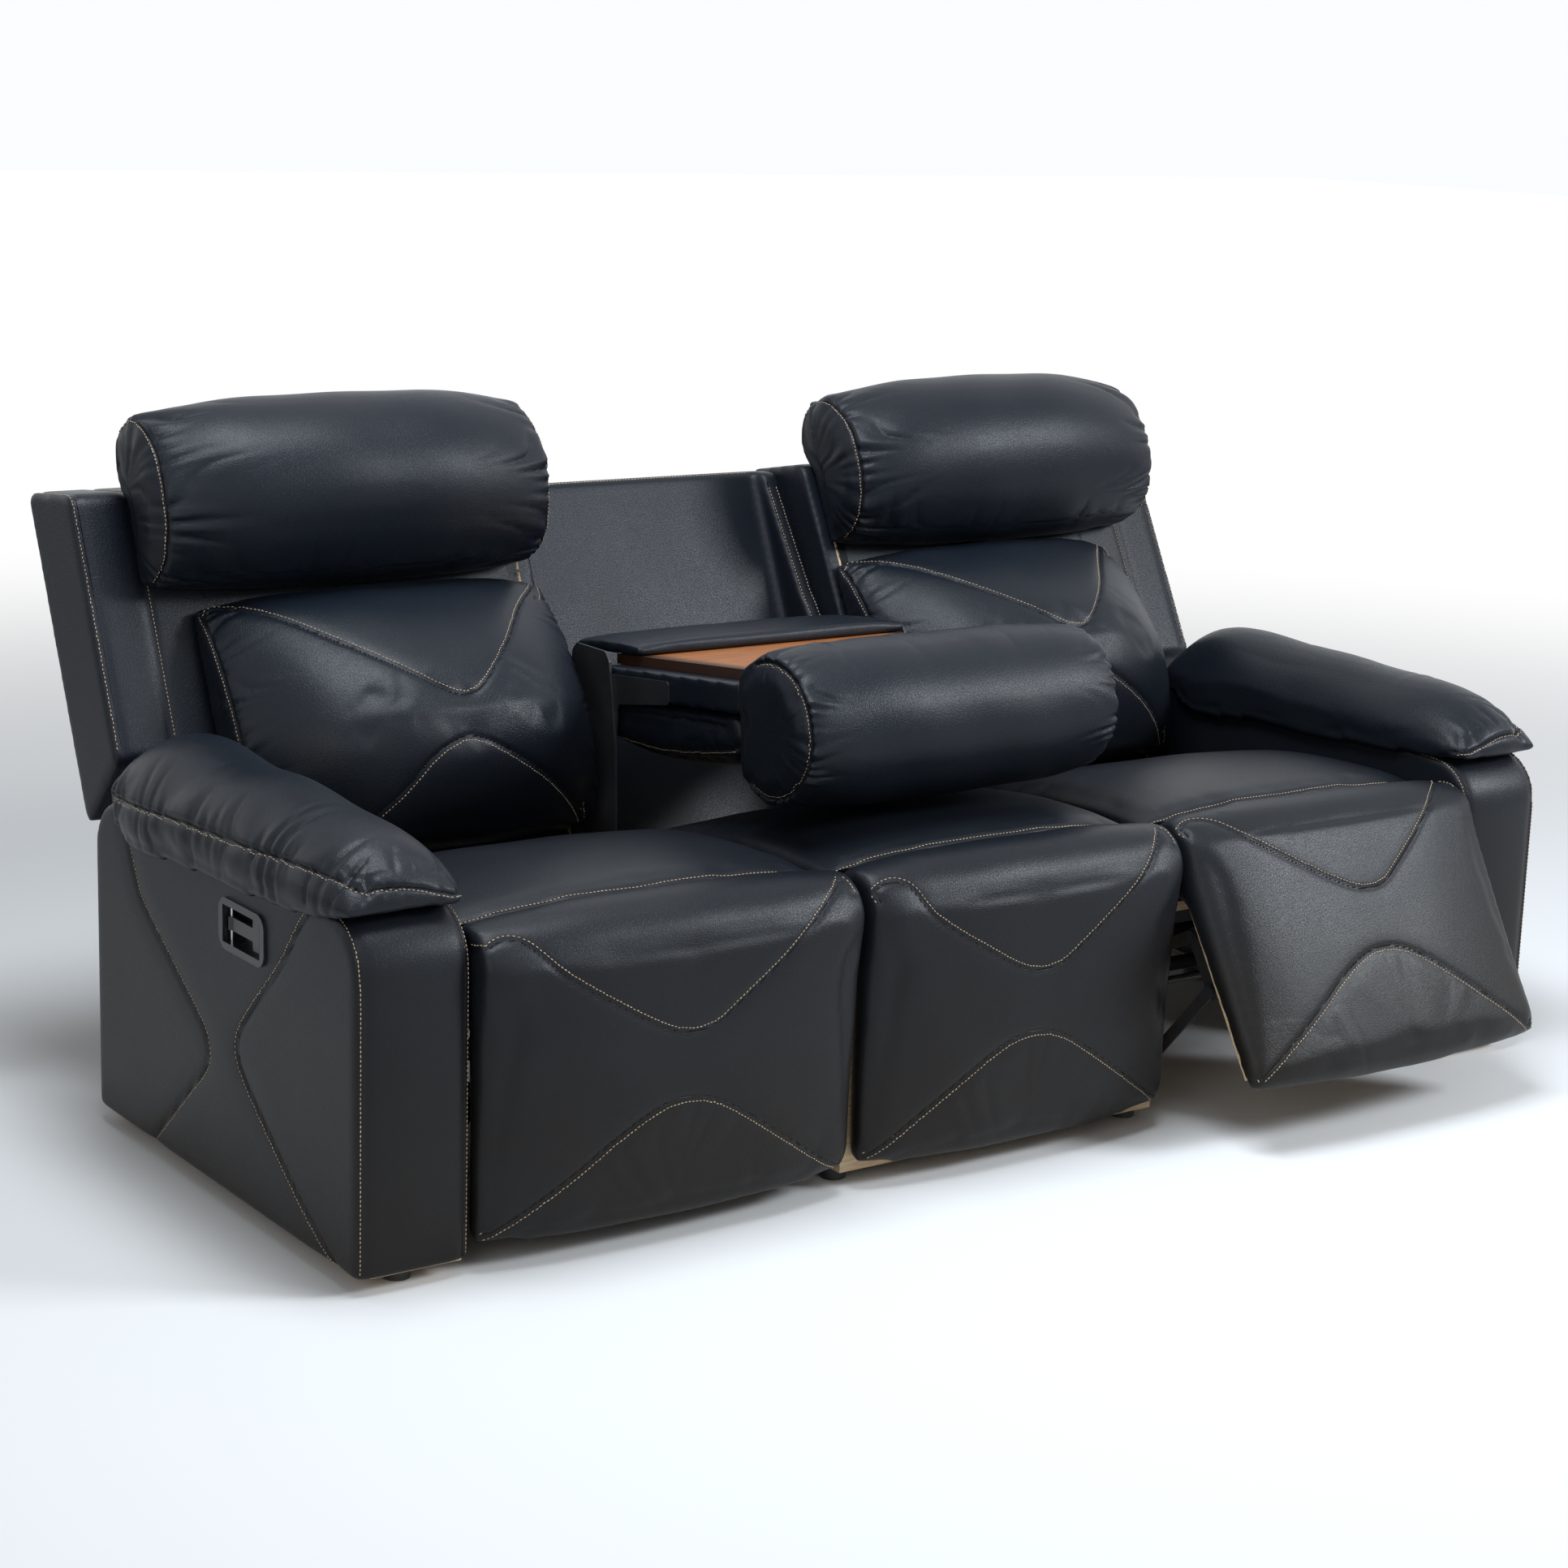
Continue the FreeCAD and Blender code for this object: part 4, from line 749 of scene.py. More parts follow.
@dataclass(frozen=True)
class Seam:
    """A sewn line, in the drawing of its piece."""

    through: tuple[Triple, ...]
    cast: Optional[Triple] = None
    rows: tuple[float, ...] = (0.006,)
    depth: float = 0.0022
    valley: float = 0.014
    gathers: tuple[Gather, ...] = ()

    def laid(self, tree: BVHTree, place: Matrix) -> np.ndarray:
        """The seam's line on the surface.

        Args:
            tree: The surface.
            place: The matrix from the piece's drawing to the row frame.

        Returns:
            Points in the row frame.
        """
        points = []
        way = (place.to_3x3() @ Vector(self.cast)).normalized() if self.cast else None
        for row in smooth_path(self.through, PATH_STEP):
            spot = place @ Vector(row)
            if way is None:
                hit = tree.find_nearest(spot)[0]
            else:
                hit = tree.ray_cast(spot - way * RAY_START, way)[0] or tree.find_nearest(spot)[0]
            points.append(hit)
        line = np.array(points)
        for _ in range(2):
            line[1:-1] = (line[:-2] + 2 * line[1:-1] + line[2:]) / 4
        return line


@dataclass(frozen=True)
class Stuffing:
    """How a padded piece is filled."""

    voxel: float = 0.006
    draw_in: float = 0.006
    swell: float = 0.016
    slack: float = 0.002
    soften: int = 1
    pressure: float = 4.0
    frames: int = 13
    fill: float = 0.8
    wrinkle: float = 0.0008


@dataclass(frozen=True)
class Stitch:
    """The size and spacing of the contrast stitches."""

    length: float = 0.0046
    width: float = 0.0015
    pitch: float = 0.0060

    def mesh(self) -> bpy.types.Mesh:
        """One stitch at the origin, along X."""
        bm = bmesh.new()
        size = Matrix.Diagonal((self.length / 2, self.width / 2, self.width / 2.4, 1.0))
        bmesh.ops.create_uvsphere(bm, u_segments=5, v_segments=4, radius=1.0, matrix=size)
        mesh = bpy.data.meshes.new("stitch")
        bm.to_mesh(mesh)
        bm.free()
        return mesh


class Upholsterer:
    """Fills, seams and stitches the padded pieces."""

    def __init__(self, wardrobe: Wardrobe, stitch: Stitch) -> None:
        self.wardrobe = wardrobe
        self.stitch = stitch
        self.thread_mesh = stitch.mesh()
        self.thread_count = 0

    def inflate(self, mesh: bpy.types.Mesh, stuffing: Stuffing) -> np.ndarray:
        """Swells a mesh by a short cloth simulation.

        Args:
            mesh: The drawn-in form; it isn't changed.
            stuffing: The pressure and time.

        Returns:
            The swollen points.
        """
        piece = shown("inflate", mesh.copy())
        cloth = piece.modifiers.new("Swell", "CLOTH")
        cloth.settings.quality = 3
        cloth.settings.mass = 0.25
        cloth.settings.tension_stiffness = 18
        cloth.settings.compression_stiffness = 12
        cloth.settings.shear_stiffness = 6
        cloth.settings.bending_stiffness = 0.6
        cloth.settings.use_pressure = True
        cloth.settings.uniform_pressure_force = stuffing.pressure
        cloth.settings.effector_weights.gravity = 0.0
        cloth.settings.shrink_min = -0.02
        cloth.point_cache.frame_start = 1
        cloth.point_cache.frame_end = stuffing.frames
        scene = bpy.context.scene
        for number in range(1, stuffing.frames + 1):
            scene.frame_set(number)
        grown = settled(piece)
        points = np.zeros(len(grown.vertices) * 3, np.float32)
        grown.vertices.foreach_get("co", points)
        bpy.data.objects.remove(piece)
        bpy.data.meshes.remove(grown)
        scene.frame_set(1)
        return points.reshape(-1, 3).astype(float)

    def filled(self, name: str, form: bpy.types.Mesh, stuffing: Stuffing, hold: Optional[Hold] = None,
               fine: bool = True) -> Skin:
        """Makes a padded form out of a plain one.

        Args:
            name: The new piece's name.
            form: The plain closed form.
            stuffing: How it is filled.
            hold: Keeps points where the neighbours leave room.
            fine: True if the faces are divided once more at the end.

        Returns:
            The surface of the new piece.
        """
        mesh = rewoven(form, stuffing.voxel, 3)
        piece = shown(name, mesh)
        skin = Skin(piece)
        whole, out = skin.points.copy(), skin.normals()
        skin.push(np.full(len(skin.points), -stuffing.draw_in))
        start = skin.points.copy()
        move = self.inflate(mesh, stuffing) - start
        length = np.linalg.norm(move, axis=1, keepdims=True)
        skin.points = start + move * np.minimum(1.0, stuffing.swell / np.maximum(length, 1e-9))
        short = -stuffing.slack - ((skin.points - whole) * out).sum(1)
        skin.points += out * np.clip(short, 0, None)[:, None]
        skin.write()
        skin.soften(stuffing.soften)
        x, y, z = (skin.points / 0.085).T
        ripple = np.sin(2.1 * x + 1.3 * z + 0.7 * np.sin(y * 1.7)) * np.sin(1.9 * y - 1.1 * x + np.sin(z * 1.3))
        skin.points += skin.normals() * (ripple * stuffing.wrinkle)[:, None]
        if hold is not None:
            skin.points = hold(skin.points)
        skin.write()
        if fine:
            subdivide = piece.modifiers.new("Divide", "SUBSURF")
            subdivide.levels = subdivide.render_levels = 1
            piece.data = settled(piece)
            piece.modifiers.clear()
        return Skin(piece)

    def sew(self, skin: Skin, seams: Sequence[Seam], place: Matrix, body: str,
            folds: Sequence[tuple[Gather, Seam]] = ()) -> None:
        """Presses seams and gathers into a surface and lays stitches beside them.

        Args:
            skin: The surface.
            seams: The sewn lines.
            place: The matrix from the piece's drawing to the row frame.
            body: The body that the piece rides on.
            folds: Gathers along lines that carry no stitches.
        """
        tree = skin.tree()
        nearest = np.full(len(skin.points), UNSEWN)
        gathered = np.zeros(len(skin.points))
        move = np.zeros(len(skin.points))
        lines = []
        for seam in seams:
            line = seam.laid(tree, place)
            lines.append((seam, line))
            reach = max([0.04] + [gather.reach * 1.4 for gather in seam.gathers])
            trace = Trace.measured(skin.points, line, reach)
            distance = trace.distance
            nearest = np.minimum(nearest, distance)
            groove = np.exp(-(distance / GROOVE) ** 2)
            move -= seam.depth * (groove + 0.55 * np.exp(-(distance / seam.valley) ** 2))
            for gather in seam.gathers:
                puff, fold = gather.amount(skin.points, trace, place)
                move += puff
                gathered = np.maximum(gathered, fold)
        for gather, seam in folds:
            trace = Trace.measured(skin.points, seam.laid(tree, place), gather.reach * 1.4)
            puff, fold = gather.amount(skin.points, trace, place)
            move += puff
            gathered = np.maximum(gathered, fold)
        skin.push(move)
        skin.store("seam", nearest)
        skin.store("fold", np.clip(gathered, 0, 1))
        self.stitches(skin, lines, body)

    def stitches(self, skin: Skin, lines: Sequence[tuple[Seam, np.ndarray]], body: str) -> None:
        """Lays rows of thread on a surface.

        Args:
            skin: The finished surface.
            lines: Each seam with its line on the surface.
            body: The body that the thread rides on.
        """
        tree = skin.tree()
        bm = bmesh.new()
        for seam, line in lines:
            for offset in seam.rows:
                self._row(bm, tree, line, offset)
        if not bm.verts:
            bm.free()
            return
        bmesh.ops.recalc_face_normals(bm, faces=bm.faces)
        mesh = bpy.data.meshes.new(skin.piece.name + "_thread")
        bm.to_mesh(mesh)
        bm.free()
        thread = shown(skin.piece.name + "_thread", mesh)
        self.wardrobe.dress(thread, "tan_thread")
        mesh.shade_smooth()
        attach(thread, body)

    def _row(self, bm: bmesh.types.BMesh, tree: BVHTree, line: np.ndarray, offset: float) -> None:
        """Adds one row of stitches beside a seam."""
        gaps = np.linalg.norm(np.diff(line, axis=0), axis=1)
        run = np.concatenate([[0], np.cumsum(gaps)])
        for place in np.arange(self.stitch.pitch, run[-1] - self.stitch.pitch, self.stitch.pitch):
            spot, ahead = (Vector([np.interp(place + k, run, line[:, i]) for i in range(3)]) for k in (0.0, 0.002))
            along = ahead - spot
            if along.length < 1e-6:
                continue
            along.normalize()
            _, out, _, _ = tree.find_nearest(spot)
            beside_line = spot + out.cross(along).normalized() * offset
            seat, out, _, _ = tree.find_nearest(beside_line)
            along = (along - out * along.dot(out)).normalized()
            across = out.cross(along)
            turn = Matrix((along, across, out)).transposed().to_4x4()
            one = self.thread_mesh.copy()
            one.transform(Matrix.Translation(seat + out * 0.0003) @ turn)
            bm.from_mesh(one)
            bpy.data.meshes.remove(one)
            self.thread_count += 1

    def deliver(self, skin: Skin, body: str, nodes: Sequence[str], fill: float) -> bpy.types.Object:
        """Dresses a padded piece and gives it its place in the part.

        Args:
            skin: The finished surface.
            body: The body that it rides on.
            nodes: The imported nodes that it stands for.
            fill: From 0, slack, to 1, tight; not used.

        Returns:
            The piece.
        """
        piece = skin.piece
        if "seam" not in piece.data.attributes:
            skin.store("seam", np.full(len(skin.points), UNSEWN))
            skin.store("fold", np.zeros(len(skin.points)))
        self.wardrobe.dress(piece, "black_leather")
        piece.data.shade_smooth()
        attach(piece, body)
        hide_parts(*nodes)
        LOG.info("%s: %d points on %s", piece.name, len(piece.data.vertices), body)
        return piece


def kept_between(low: Sequence[Optional[float]], high: Sequence[Optional[float]], place: Matrix = Matrix()) -> Hold:
    """A hold that keeps points inside a box in the piece's drawing.

    Args:
        low: Lowest X, Y and Z, or None where nothing limits the piece.
        high: Highest X, Y and Z.
        place: The matrix from the drawing to the row frame.

    Returns:
        The hold.
    """
    back = place.inverted()

    def hold(points: np.ndarray) -> np.ndarray:
        """Moves the points that stand out back to the box."""
        drawn = carried(points, back)
        for k in range(3):
            drawn[:, k] = np.clip(drawn[:, k], low[k], high[k])
        return carried(drawn, place)

    return hold


def mirrored(points: Sequence[Triple], side: int) -> tuple[Triple, ...]:
    """Points drawn for the right end, moved to either end."""
    return tuple((x * side, y, z) for x, y, z in points)


# Seats


@dataclass
class Seat:
    """One seat: its cushion, and the rolled edge with the pad that hangs from it."""

    upholsterer: Upholsterer
    word: str
    middle: float
    half: float
    opened: float = 0.0
    stuffing: Stuffing = Stuffing(voxel=0.0098, draw_in=0.006, swell=0.012, slack=0.001, soften=4, fill=0.85)

    @property
    def front_body(self) -> str:
        """The body of the front pad."""
        return "root" if self.word == "centre" else f"footrest_{self.word}"

    @property
    def front_node(self) -> str:
        """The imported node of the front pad."""
        return "centre_front_pad" if self.word == "centre" else f"footrest_pad_{self.word}"

    def _clear_of_roll(self, points: np.ndarray) -> np.ndarray:
        """Keeps a cushion's points off the rolled edge."""
        offset = points[:, 1:] - np.array(FOOTREST_HINGE)[1:]
        far = np.linalg.norm(offset, axis=1)
        close = far < ROLL_RADIUS + 0.0022
        points[close, 1:] += offset[close] * ((ROLL_RADIUS + 0.0022) / far[close] - 1)[:, None]
        return points

    def cushion(self) -> None:
        """Builds the seat cushion with the seam that runs along its front."""
        box = kept_between((self.middle - self.half + 0.0012, -0.334, 0.3225),
                           (self.middle + self.half - 0.0012, 0.222, 0.470))
        skin = self.upholsterer.filled(f"seat_pad_{self.word}", shape_of(f"seat_cushion_{self.word}"), self.stuffing,
                                       lambda points: self._clear_of_roll(box(points)))
        reach = self.half - 0.012
        front = Seam(tuple((self.middle + reach * t, -0.306, 0.45) for t in (-1, -0.6, 0, 0.6, 1)),
                     cast=(0, 0, -1), rows=(0.0,), depth=0.0015)
        self.upholsterer.sew(skin, [front], Matrix(), "root")
        self.upholsterer.deliver(skin, "root", [f"seat_cushion_{self.word}"], self.stuffing.fill)

    def _hold_front(self, points: np.ndarray) -> np.ndarray:
        """Keeps the front pad flat on its board and its roll round."""
        points[:, 0] = np.clip(points[:, 0], self.middle - self.half + 0.0025, self.middle + self.half - 0.0025)
        below = points[:, 2] < FOOTREST_HINGE.z - ROLL_RADIUS
        points[below, 1] = np.minimum(points[below, 1], FOOTREST_HINGE.y)
        offset = points[:, 1:] - np.array(FOOTREST_HINGE)[1:]
        far = np.linalg.norm(offset, axis=1)
        rolled = ~below & (far > ROLL_RADIUS) & ((offset[:, 0] > 0) | (offset[:, 1] > 0))
        points[rolled, 1:] -= offset[rolled] * (1 - ROLL_RADIUS / far[rolled])[:, None]
        return points

    def front(self) -> None:
        """Builds the front pad with its two bent seams."""
        place = hinged(FOOTREST_HINGE, self.opened, about=True)

        def hold(points: np.ndarray) -> np.ndarray:
            """Holds the points as if the footrest were closed."""
            return carried(self._hold_front(carried(points, place.inverted())), place)

        skin = self.upholsterer.filled(f"front_pad_{self.word}", shape_of(self.front_node), self.stuffing, hold)
        m, w = self.middle, self.half
        upper = Seam(tuple((m + x, -0.44, z) for x, z in (
            (-w + 0.004, 0.424), (-w + 0.030, 0.4375), (-w + 0.062, 0.432), (-0.185, 0.386), (-0.088, 0.325),
            (-0.035, 0.297), (0.0, 0.289), (0.038, 0.294), (0.075, 0.318), (0.136, 0.362), (0.2, 0.412),
            (w - 0.044, 0.444), (w - 0.004, 0.456))), cast=(0, 1, 0))
        lower = Seam(tuple((m + x, -0.44, z) for x, z in (
            (-w + 0.004, 0.040), (-0.179, 0.112), (-0.100, 0.165), (-0.045, 0.193), (0.0, 0.200), (0.045, 0.190),
            (0.100, 0.158), (0.229, 0.070), (w - 0.004, 0.034))), cast=(0, 1, 0), rows=(-0.006,))
        soft = Gather(depth=0.0016, reach=0.16, pitch=0.05, toward=(0, 0, -1), other_side=0.1, shift=m)
        low_edge = Seam(tuple((m + x, -0.42, 0.19 - abs(x) * 0.5) for x in (-0.15, 0.0, 0.15)), cast=(0, 1, 0))
        self.upholsterer.sew(skin, [upper, lower], place, self.front_body, [(soft, low_edge)])
        self.upholsterer.deliver(skin, self.front_body, [self.front_node], self.stuffing.fill)


# Arms


@dataclass
class Arm:
    """One arm: its leather casing and the pillow on top."""

    upholsterer: Upholsterer
    flank: Flank
    half_depth: float = 0.396
    top: float = 0.480
    foot: float = 0.020
    front_round: float = 0.075
    rear_round: float = 0.080
    handle: Pair = (-0.083, 0.395)

    def casing(self) -> None:
        """Builds the casing with its curved side seams and the pocket of the release handle."""
        side, name = self.flank.side, self.flank.word
        front, rear = -self.half_depth, self.half_depth
        outline = [(front, self.foot), (rear, self.foot), (rear, self.top), (front, self.top)]
        low, high = sorted((side * SEAT_EDGE, side * ARM_EDGE))
        form = blocks([(outline, low, high)], Matrix(),
                      {(front, self.top): self.front_round, (rear, self.top): self.rear_round})
        skin = Skin(shown(f"arm_casing_{name}", rewoven(form, 0.006, 5)))
        across = (np.abs(skin.points[:, 0]) - SEAT_EDGE) / (ARM_EDGE - SEAT_EDGE) * 2 - 1
        dome = np.clip(1 - across ** 2, 0, 1) * 0.006
        facing = np.clip(-skin.normals()[:, 1], 0, 1) * np.clip((skin.points[:, 2] - self.foot) / 0.05, 0, 1)
        skin.push(dome * facing)
        skin.points[:, 2] = np.maximum(skin.points[:, 2], self.foot)
        skin.points[:, 0] = side * np.clip(side * skin.points[:, 0], SEAT_EDGE + 0.0004, ARM_EDGE)
        skin.write()
        self._pocket(skin, side)
        skin = Skin(skin.piece)
        self.upholsterer.sew(skin, self._seams(side), Matrix(), "root")
        self.upholsterer.deliver(skin, "root", [f"arm_cover_{name}", f"arm_side_panel_{name}"], 0.95)

    def _pocket(self, skin: Skin, side: int) -> None:
        """Sinks the pocket that the handle's bezel sits in."""
        bm = bmesh.new()
        bmesh.ops.create_cube(bm, size=1.0)
        bmesh.ops.scale(bm, vec=(0.05, 0.1136, 0.0556), verts=bm.verts)
        bmesh.ops.translate(bm, vec=(side * ARM_EDGE, *self.handle), verts=bm.verts)
        mesh = bpy.data.meshes.new("pocket")
        bm.to_mesh(mesh)
        bm.free()
        cutter = shown("pocket", mesh)
        cut = skin.piece.modifiers.new("Pocket", "BOOLEAN")
        cut.operation = "DIFFERENCE"
        cut.solver = "EXACT"
        cut.object = cutter
        skin.piece.data = settled(skin.piece)
        skin.piece.modifiers.clear()
        bpy.data.objects.remove(cutter)

    def _seams(self, side: int) -> list[Seam]:
        """The arm's seams, drawn for the right arm."""
        face = ARM_EDGE + 0.01
        rear_curve = [(face, y, z) for y, z in (
            (0.290, 0.450), (0.262, 0.395), (0.231, 0.355), (0.131, 0.289), (0.048, 0.235), (0.028, 0.205),
            (0.040, 0.175), (0.095, 0.127), (0.213, 0.024))]
        front_curve = [(face, y, z) for y, z in (
            (-0.290, 0.478), (-0.250, 0.450), (-0.188, 0.376), (-0.090, 0.281), (-0.060, 0.240), (-0.072, 0.205),
            (-0.127, 0.160), (-0.240, 0.079), (-0.340, 0.022))]
        front = -self.half_depth - 0.004
        arc = [(-0.396, 0.405), (-0.390, 0.434), (-0.374, 0.458), (-0.350, 0.474), (-0.320, 0.481), (-0.28, 0.481)]
        seams = [
            Seam(mirrored(rear_curve, side), cast=(-side, 0, 0), rows=(-0.006 * side,), valley=0.022, depth=0.003),
            Seam(mirrored(front_curve, side), cast=(-side, 0, 0), rows=(0.006 * side,), valley=0.022, depth=0.003),
        ]
        for x, row in ((ARM_EDGE - 0.011, -0.006), (SEAT_EDGE + 0.009, 0.006)):
            line = [(x, front, z) for z in (0.024, 0.12, 0.25, 0.36)] + [(x, y, z) for y, z in arc]
            seams.append(Seam(mirrored(line, side), rows=(row * side,), valley=0.010))
        rear = [(x, self.half_depth, z) for x, z in ((ARM_EDGE - 0.011, 0.024), (ARM_EDGE - 0.011, 0.39))]
        seams.append(Seam(mirrored(rear, side), rows=(0.006 * side,), valley=0.010))
        return seams

    def pillow(self) -> None:
        """Builds the pillow with its gathered side and front seam."""
        side, name = self.flank.side, self.flank.word
        stuffing = Stuffing(voxel=0.0072, draw_in=0.008, swell=0.020, fill=0.7, wrinkle=0.0016)
        inner, outer = SEAT_EDGE - 0.0135, ARM_EDGE + 0.027
        low, high = sorted((side * inner, side * outer))
        hold = kept_between((low, -0.396, 0.424), (high, 0.3235, 0.602))
        skin = self.upholsterer.filled(f"arm_pillow_{name}", shape_of(f"arm_pad_{name}"), stuffing, hold)
        outward = Gather(depth=0.0085, reach=0.090, pitch=0.046, toward=(0, 0, 1), other_side=0.75, shift=0.4)
        ring = [(1.066, y, z) for y, z in (
            (0.318, 0.498), (0.20, 0.505), (0.112, 0.512), (-0.055, 0.521), (-0.202, 0.532), (-0.291, 0.541))]
        ring += [(1.052, -0.355, 0.548), (1.025, -0.398, 0.548), (0.963, -0.402, 0.532), (0.905, -0.396, 0.508),
                 (0.872, -0.360, 0.492)]
        creases = Gather(depth=0.0055, reach=0.06, pitch=0.030, toward=(0, 1, 0), other_side=0.3, shift=1.1)
        nose = [(1.045, -0.375, 0.548), (0.963, -0.395, 0.560), (0.885, -0.375, 0.535)]
        tuck = [(1.066, -0.296, z) for z in (0.541, 0.515, 0.488)]
        seams = [
            Seam(mirrored(ring, side), rows=(0.005 * side,), depth=0.003, gathers=(outward,)),
            Seam(mirrored(tuck, side), rows=(), depth=0.0025),
        ]
        front_folds = Seam(mirrored(nose, side))
        self.upholsterer.sew(skin, seams, Matrix(), "root", [(creases, front_folds)])
        self.upholsterer.deliver(skin, "root", [f"arm_pad_{name}"], stuffing.fill)


# Backs


@dataclass
class Back:
    """One reclining back: its casing with the wing, its lumbar cushion and its headrest."""

    upholsterer: Upholsterer
    flank: Flank
    front: float = 0.040
    rear: float = 0.188
    top: float = 0.600
    skirt_front: float = 0.120
    skirt_drop: float = 0.120
    inner: float = CENTRE_EDGE + 0.003
    outer: float = SEAT_EDGE - 0.003
    wing_end: float = SEAT_EDGE + 0.1325

    @property
    def place(self) -> Matrix:
        """From the back's drawing, which has its pivot at the origin, to the row frame."""
        return hinged(BACK_PIVOT, BACK_LEAN + self.flank.recline)

    @property
    def body(self) -> str:
        """The back's body."""
        return f"back_{self.flank.word}"

    def casing(self) -> None:
        """Builds the casing with stitched edges on its wing."""
        side, name = self.flank.side, self.flank.word
        front, rear, top = self.front, self.rear, self.top
        crown = [(rear, top + 0.028), (rear - 0.006, top + 0.038), (rear - 0.020, top + 0.040),
                 (front + 0.014, top + 0.004), (front + 0.004, top - 0.003), (front, top - 0.016)]
        main = [(front, 0.0), (self.skirt_front, 0.0), (self.skirt_front, -self.skirt_drop),
                (rear, -self.skirt_drop)] + crown
        wing = [(front, 0.218), (front + 0.008, 0.209), (rear - 0.010, 0.1525), (rear, 0.162)] + crown
        spans = ((self.inner, self.outer), (self.outer - 0.02, self.wing_end))
        ends = [sorted((side * a, side * b)) for a, b in spans]
        form = blocks([(main, *ends[0]), (wing, *ends[1])], self.place)
        skin = Skin(shown(f"back_casing_{name}", rewoven(form, 0.0065, 3)))
        edge = self.wing_end - 0.011
        front_line = [(front - 0.002, h) for h in (0.225, 0.35, 0.47, 0.575)]
        top_line = [(0.044, 0.597), (0.056, 0.606), (0.11, 0.626), (0.166, 0.640)]
        rear_line = [(rear + 0.002, h) for h in (0.60, 0.45, 0.30, 0.17)]
        seams = []
        for x, row in ((edge, -0.006), (self.outer + 0.047, 0.006)):
            seams.append(Seam(mirrored([(x, d, h) for d, h in front_line + top_line], side), rows=(row * side,),
                              valley=0.008))
        seams.append(Seam(mirrored([(edge, d, h) for d, h in rear_line], side), rows=(-0.006 * side,), valley=0.008))
        for x in (self.inner + 0.03, self.outer - 0.03):
            line = [(x, rear + 0.002, h) for h in (-0.11, 0.1, 0.3, 0.5, 0.6)]
            seams.append(Seam(mirrored(line, side), rows=(0.005,), valley=0.008))
        hem = [(x, rear + 0.002, -0.098) for x in (self.inner + 0.01, 0.45, 0.7, self.outer - 0.01)]
        seams.append(Seam(mirrored(hem, side), rows=(0.0,), depth=0.0008, valley=0.006))
        self.upholsterer.sew(skin, seams, self.place, self.body)
        self.upholsterer.deliver(skin, self.body, [f"back_shell_{name}"], 0.95)

    def lumbar(self) -> None:
        """Builds the lumbar cushion with its bent seams and gathered sides."""
        side, name = self.flank.side, self.flank.word
        low, high = sorted((side * (CENTRE_EDGE + 0.0055), side * (SEAT_EDGE - 0.0145)))
        middle, half = (low + high) / 2, (high - low) / 2
        stuffing = Stuffing(voxel=0.0084, draw_in=0.008, swell=0.018, fill=0.8, wrinkle=0.0012)
        hold = kept_between((low, -0.205, 0.020), (high, 0.0395, 0.440), self.place)
        skin = self.upholsterer.filled(f"lumbar_pad_{name}", shape_of(f"lumbar_cushion_{name}"), stuffing, hold)

        def spread(points: Sequence[Pair]) -> tuple[Triple, ...]:
            """Points of a seam across the cushion, laid on its front."""
            return tuple((middle + x, -0.1, h) for x, h in points)

        valley = spread(((-half + 0.008, 0.400), (-half + 0.030, 0.413), (-0.206, 0.384), (-0.138, 0.322),
                         (-0.068, 0.262), (-0.020, 0.228), (0.012, 0.219), (0.042, 0.230), (0.110, 0.290),
                         (0.190, 0.362), (half - 0.010, 0.418)))
        ridge = spread(((-0.215, 0.010), (-0.102, 0.092), (-0.057, 0.134), (-0.012, 0.156), (0.020, 0.155),
                        (0.089, 0.121), (0.200, 0.062), (half - 0.008, 0.012)))
        seams = [Seam(valley, cast=(0, 1, 0), rows=(0.006,)), Seam(ridge, cast=(0, 1, 0), rows=(-0.006,))]
        for end in (-1, 1):
            inward = Gather(depth=0.0058, reach=0.080, pitch=0.023, toward=(-end, 0, 0), other_side=0.25,
                            shift=0.7 + end)
            line = tuple((middle + end * (half - 0.004), d, h) for d, h in (
                (0.018, 0.412), (-0.004, 0.370), (-0.026, 0.300), (-0.044, 0.210), (-0.040, 0.12), (-0.022, 0.06)))
            seams.append(Seam(line, rows=(0.004 * end,), gathers=(inward,)))
        self.upholsterer.sew(skin, seams, self.place, self.body)
        self.upholsterer.deliver(skin, self.body, [f"lumbar_cushion_{name}"], stuffing.fill)

    def headrest(self) -> None:
        """Builds the headrest with its gathered end seams."""
        side, name = self.flank.side, self.flank.word
        inner, outer = CENTRE_EDGE + 0.0105, SEAT_EDGE + 0.060
        low, high = sorted((side * inner, side * outer))
        ends = sorted((side * (CENTRE_EDGE + 0.018), side * (SEAT_EDGE + 0.052)))
        stuffing = Stuffing(voxel=0.0072, draw_in=0.008, swell=0.020, fill=0.75, wrinkle=0.0014)
        hold = kept_between((low, -0.166, 0.420), (high, 0.075, 0.722), self.place)
        skin = self.upholsterer.filled(f"headrest_{name}", shape_of(f"headrest_cushion_{name}"), stuffing, hold)
        rim = ((0.030, 0.684), (-0.020, 0.690), (-0.060, 0.668), (-0.088, 0.625), (-0.092, 0.575), (-0.084, 0.520),
               (-0.062, 0.470), (-0.030, 0.446), (0.010, 0.440))
        seams = []
        for end, x in zip((-1, 1), ends):
            pleats = Gather(depth=0.0090, reach=0.115, pitch=0.030, toward=(-end, 0, 0), other_side=0.45,
                            shift=0.9 * end + side)
            line = tuple((x - end * 0.002, d, h) for d, h in rim)
            seams.append(Seam(line, rows=(0.004 * end,), depth=0.003, gathers=(pleats,)))
        crease = Seam(tuple((x, -0.05, 0.442) for x in np.linspace(ends[0] + 0.03, ends[1] - 0.03, 5)))
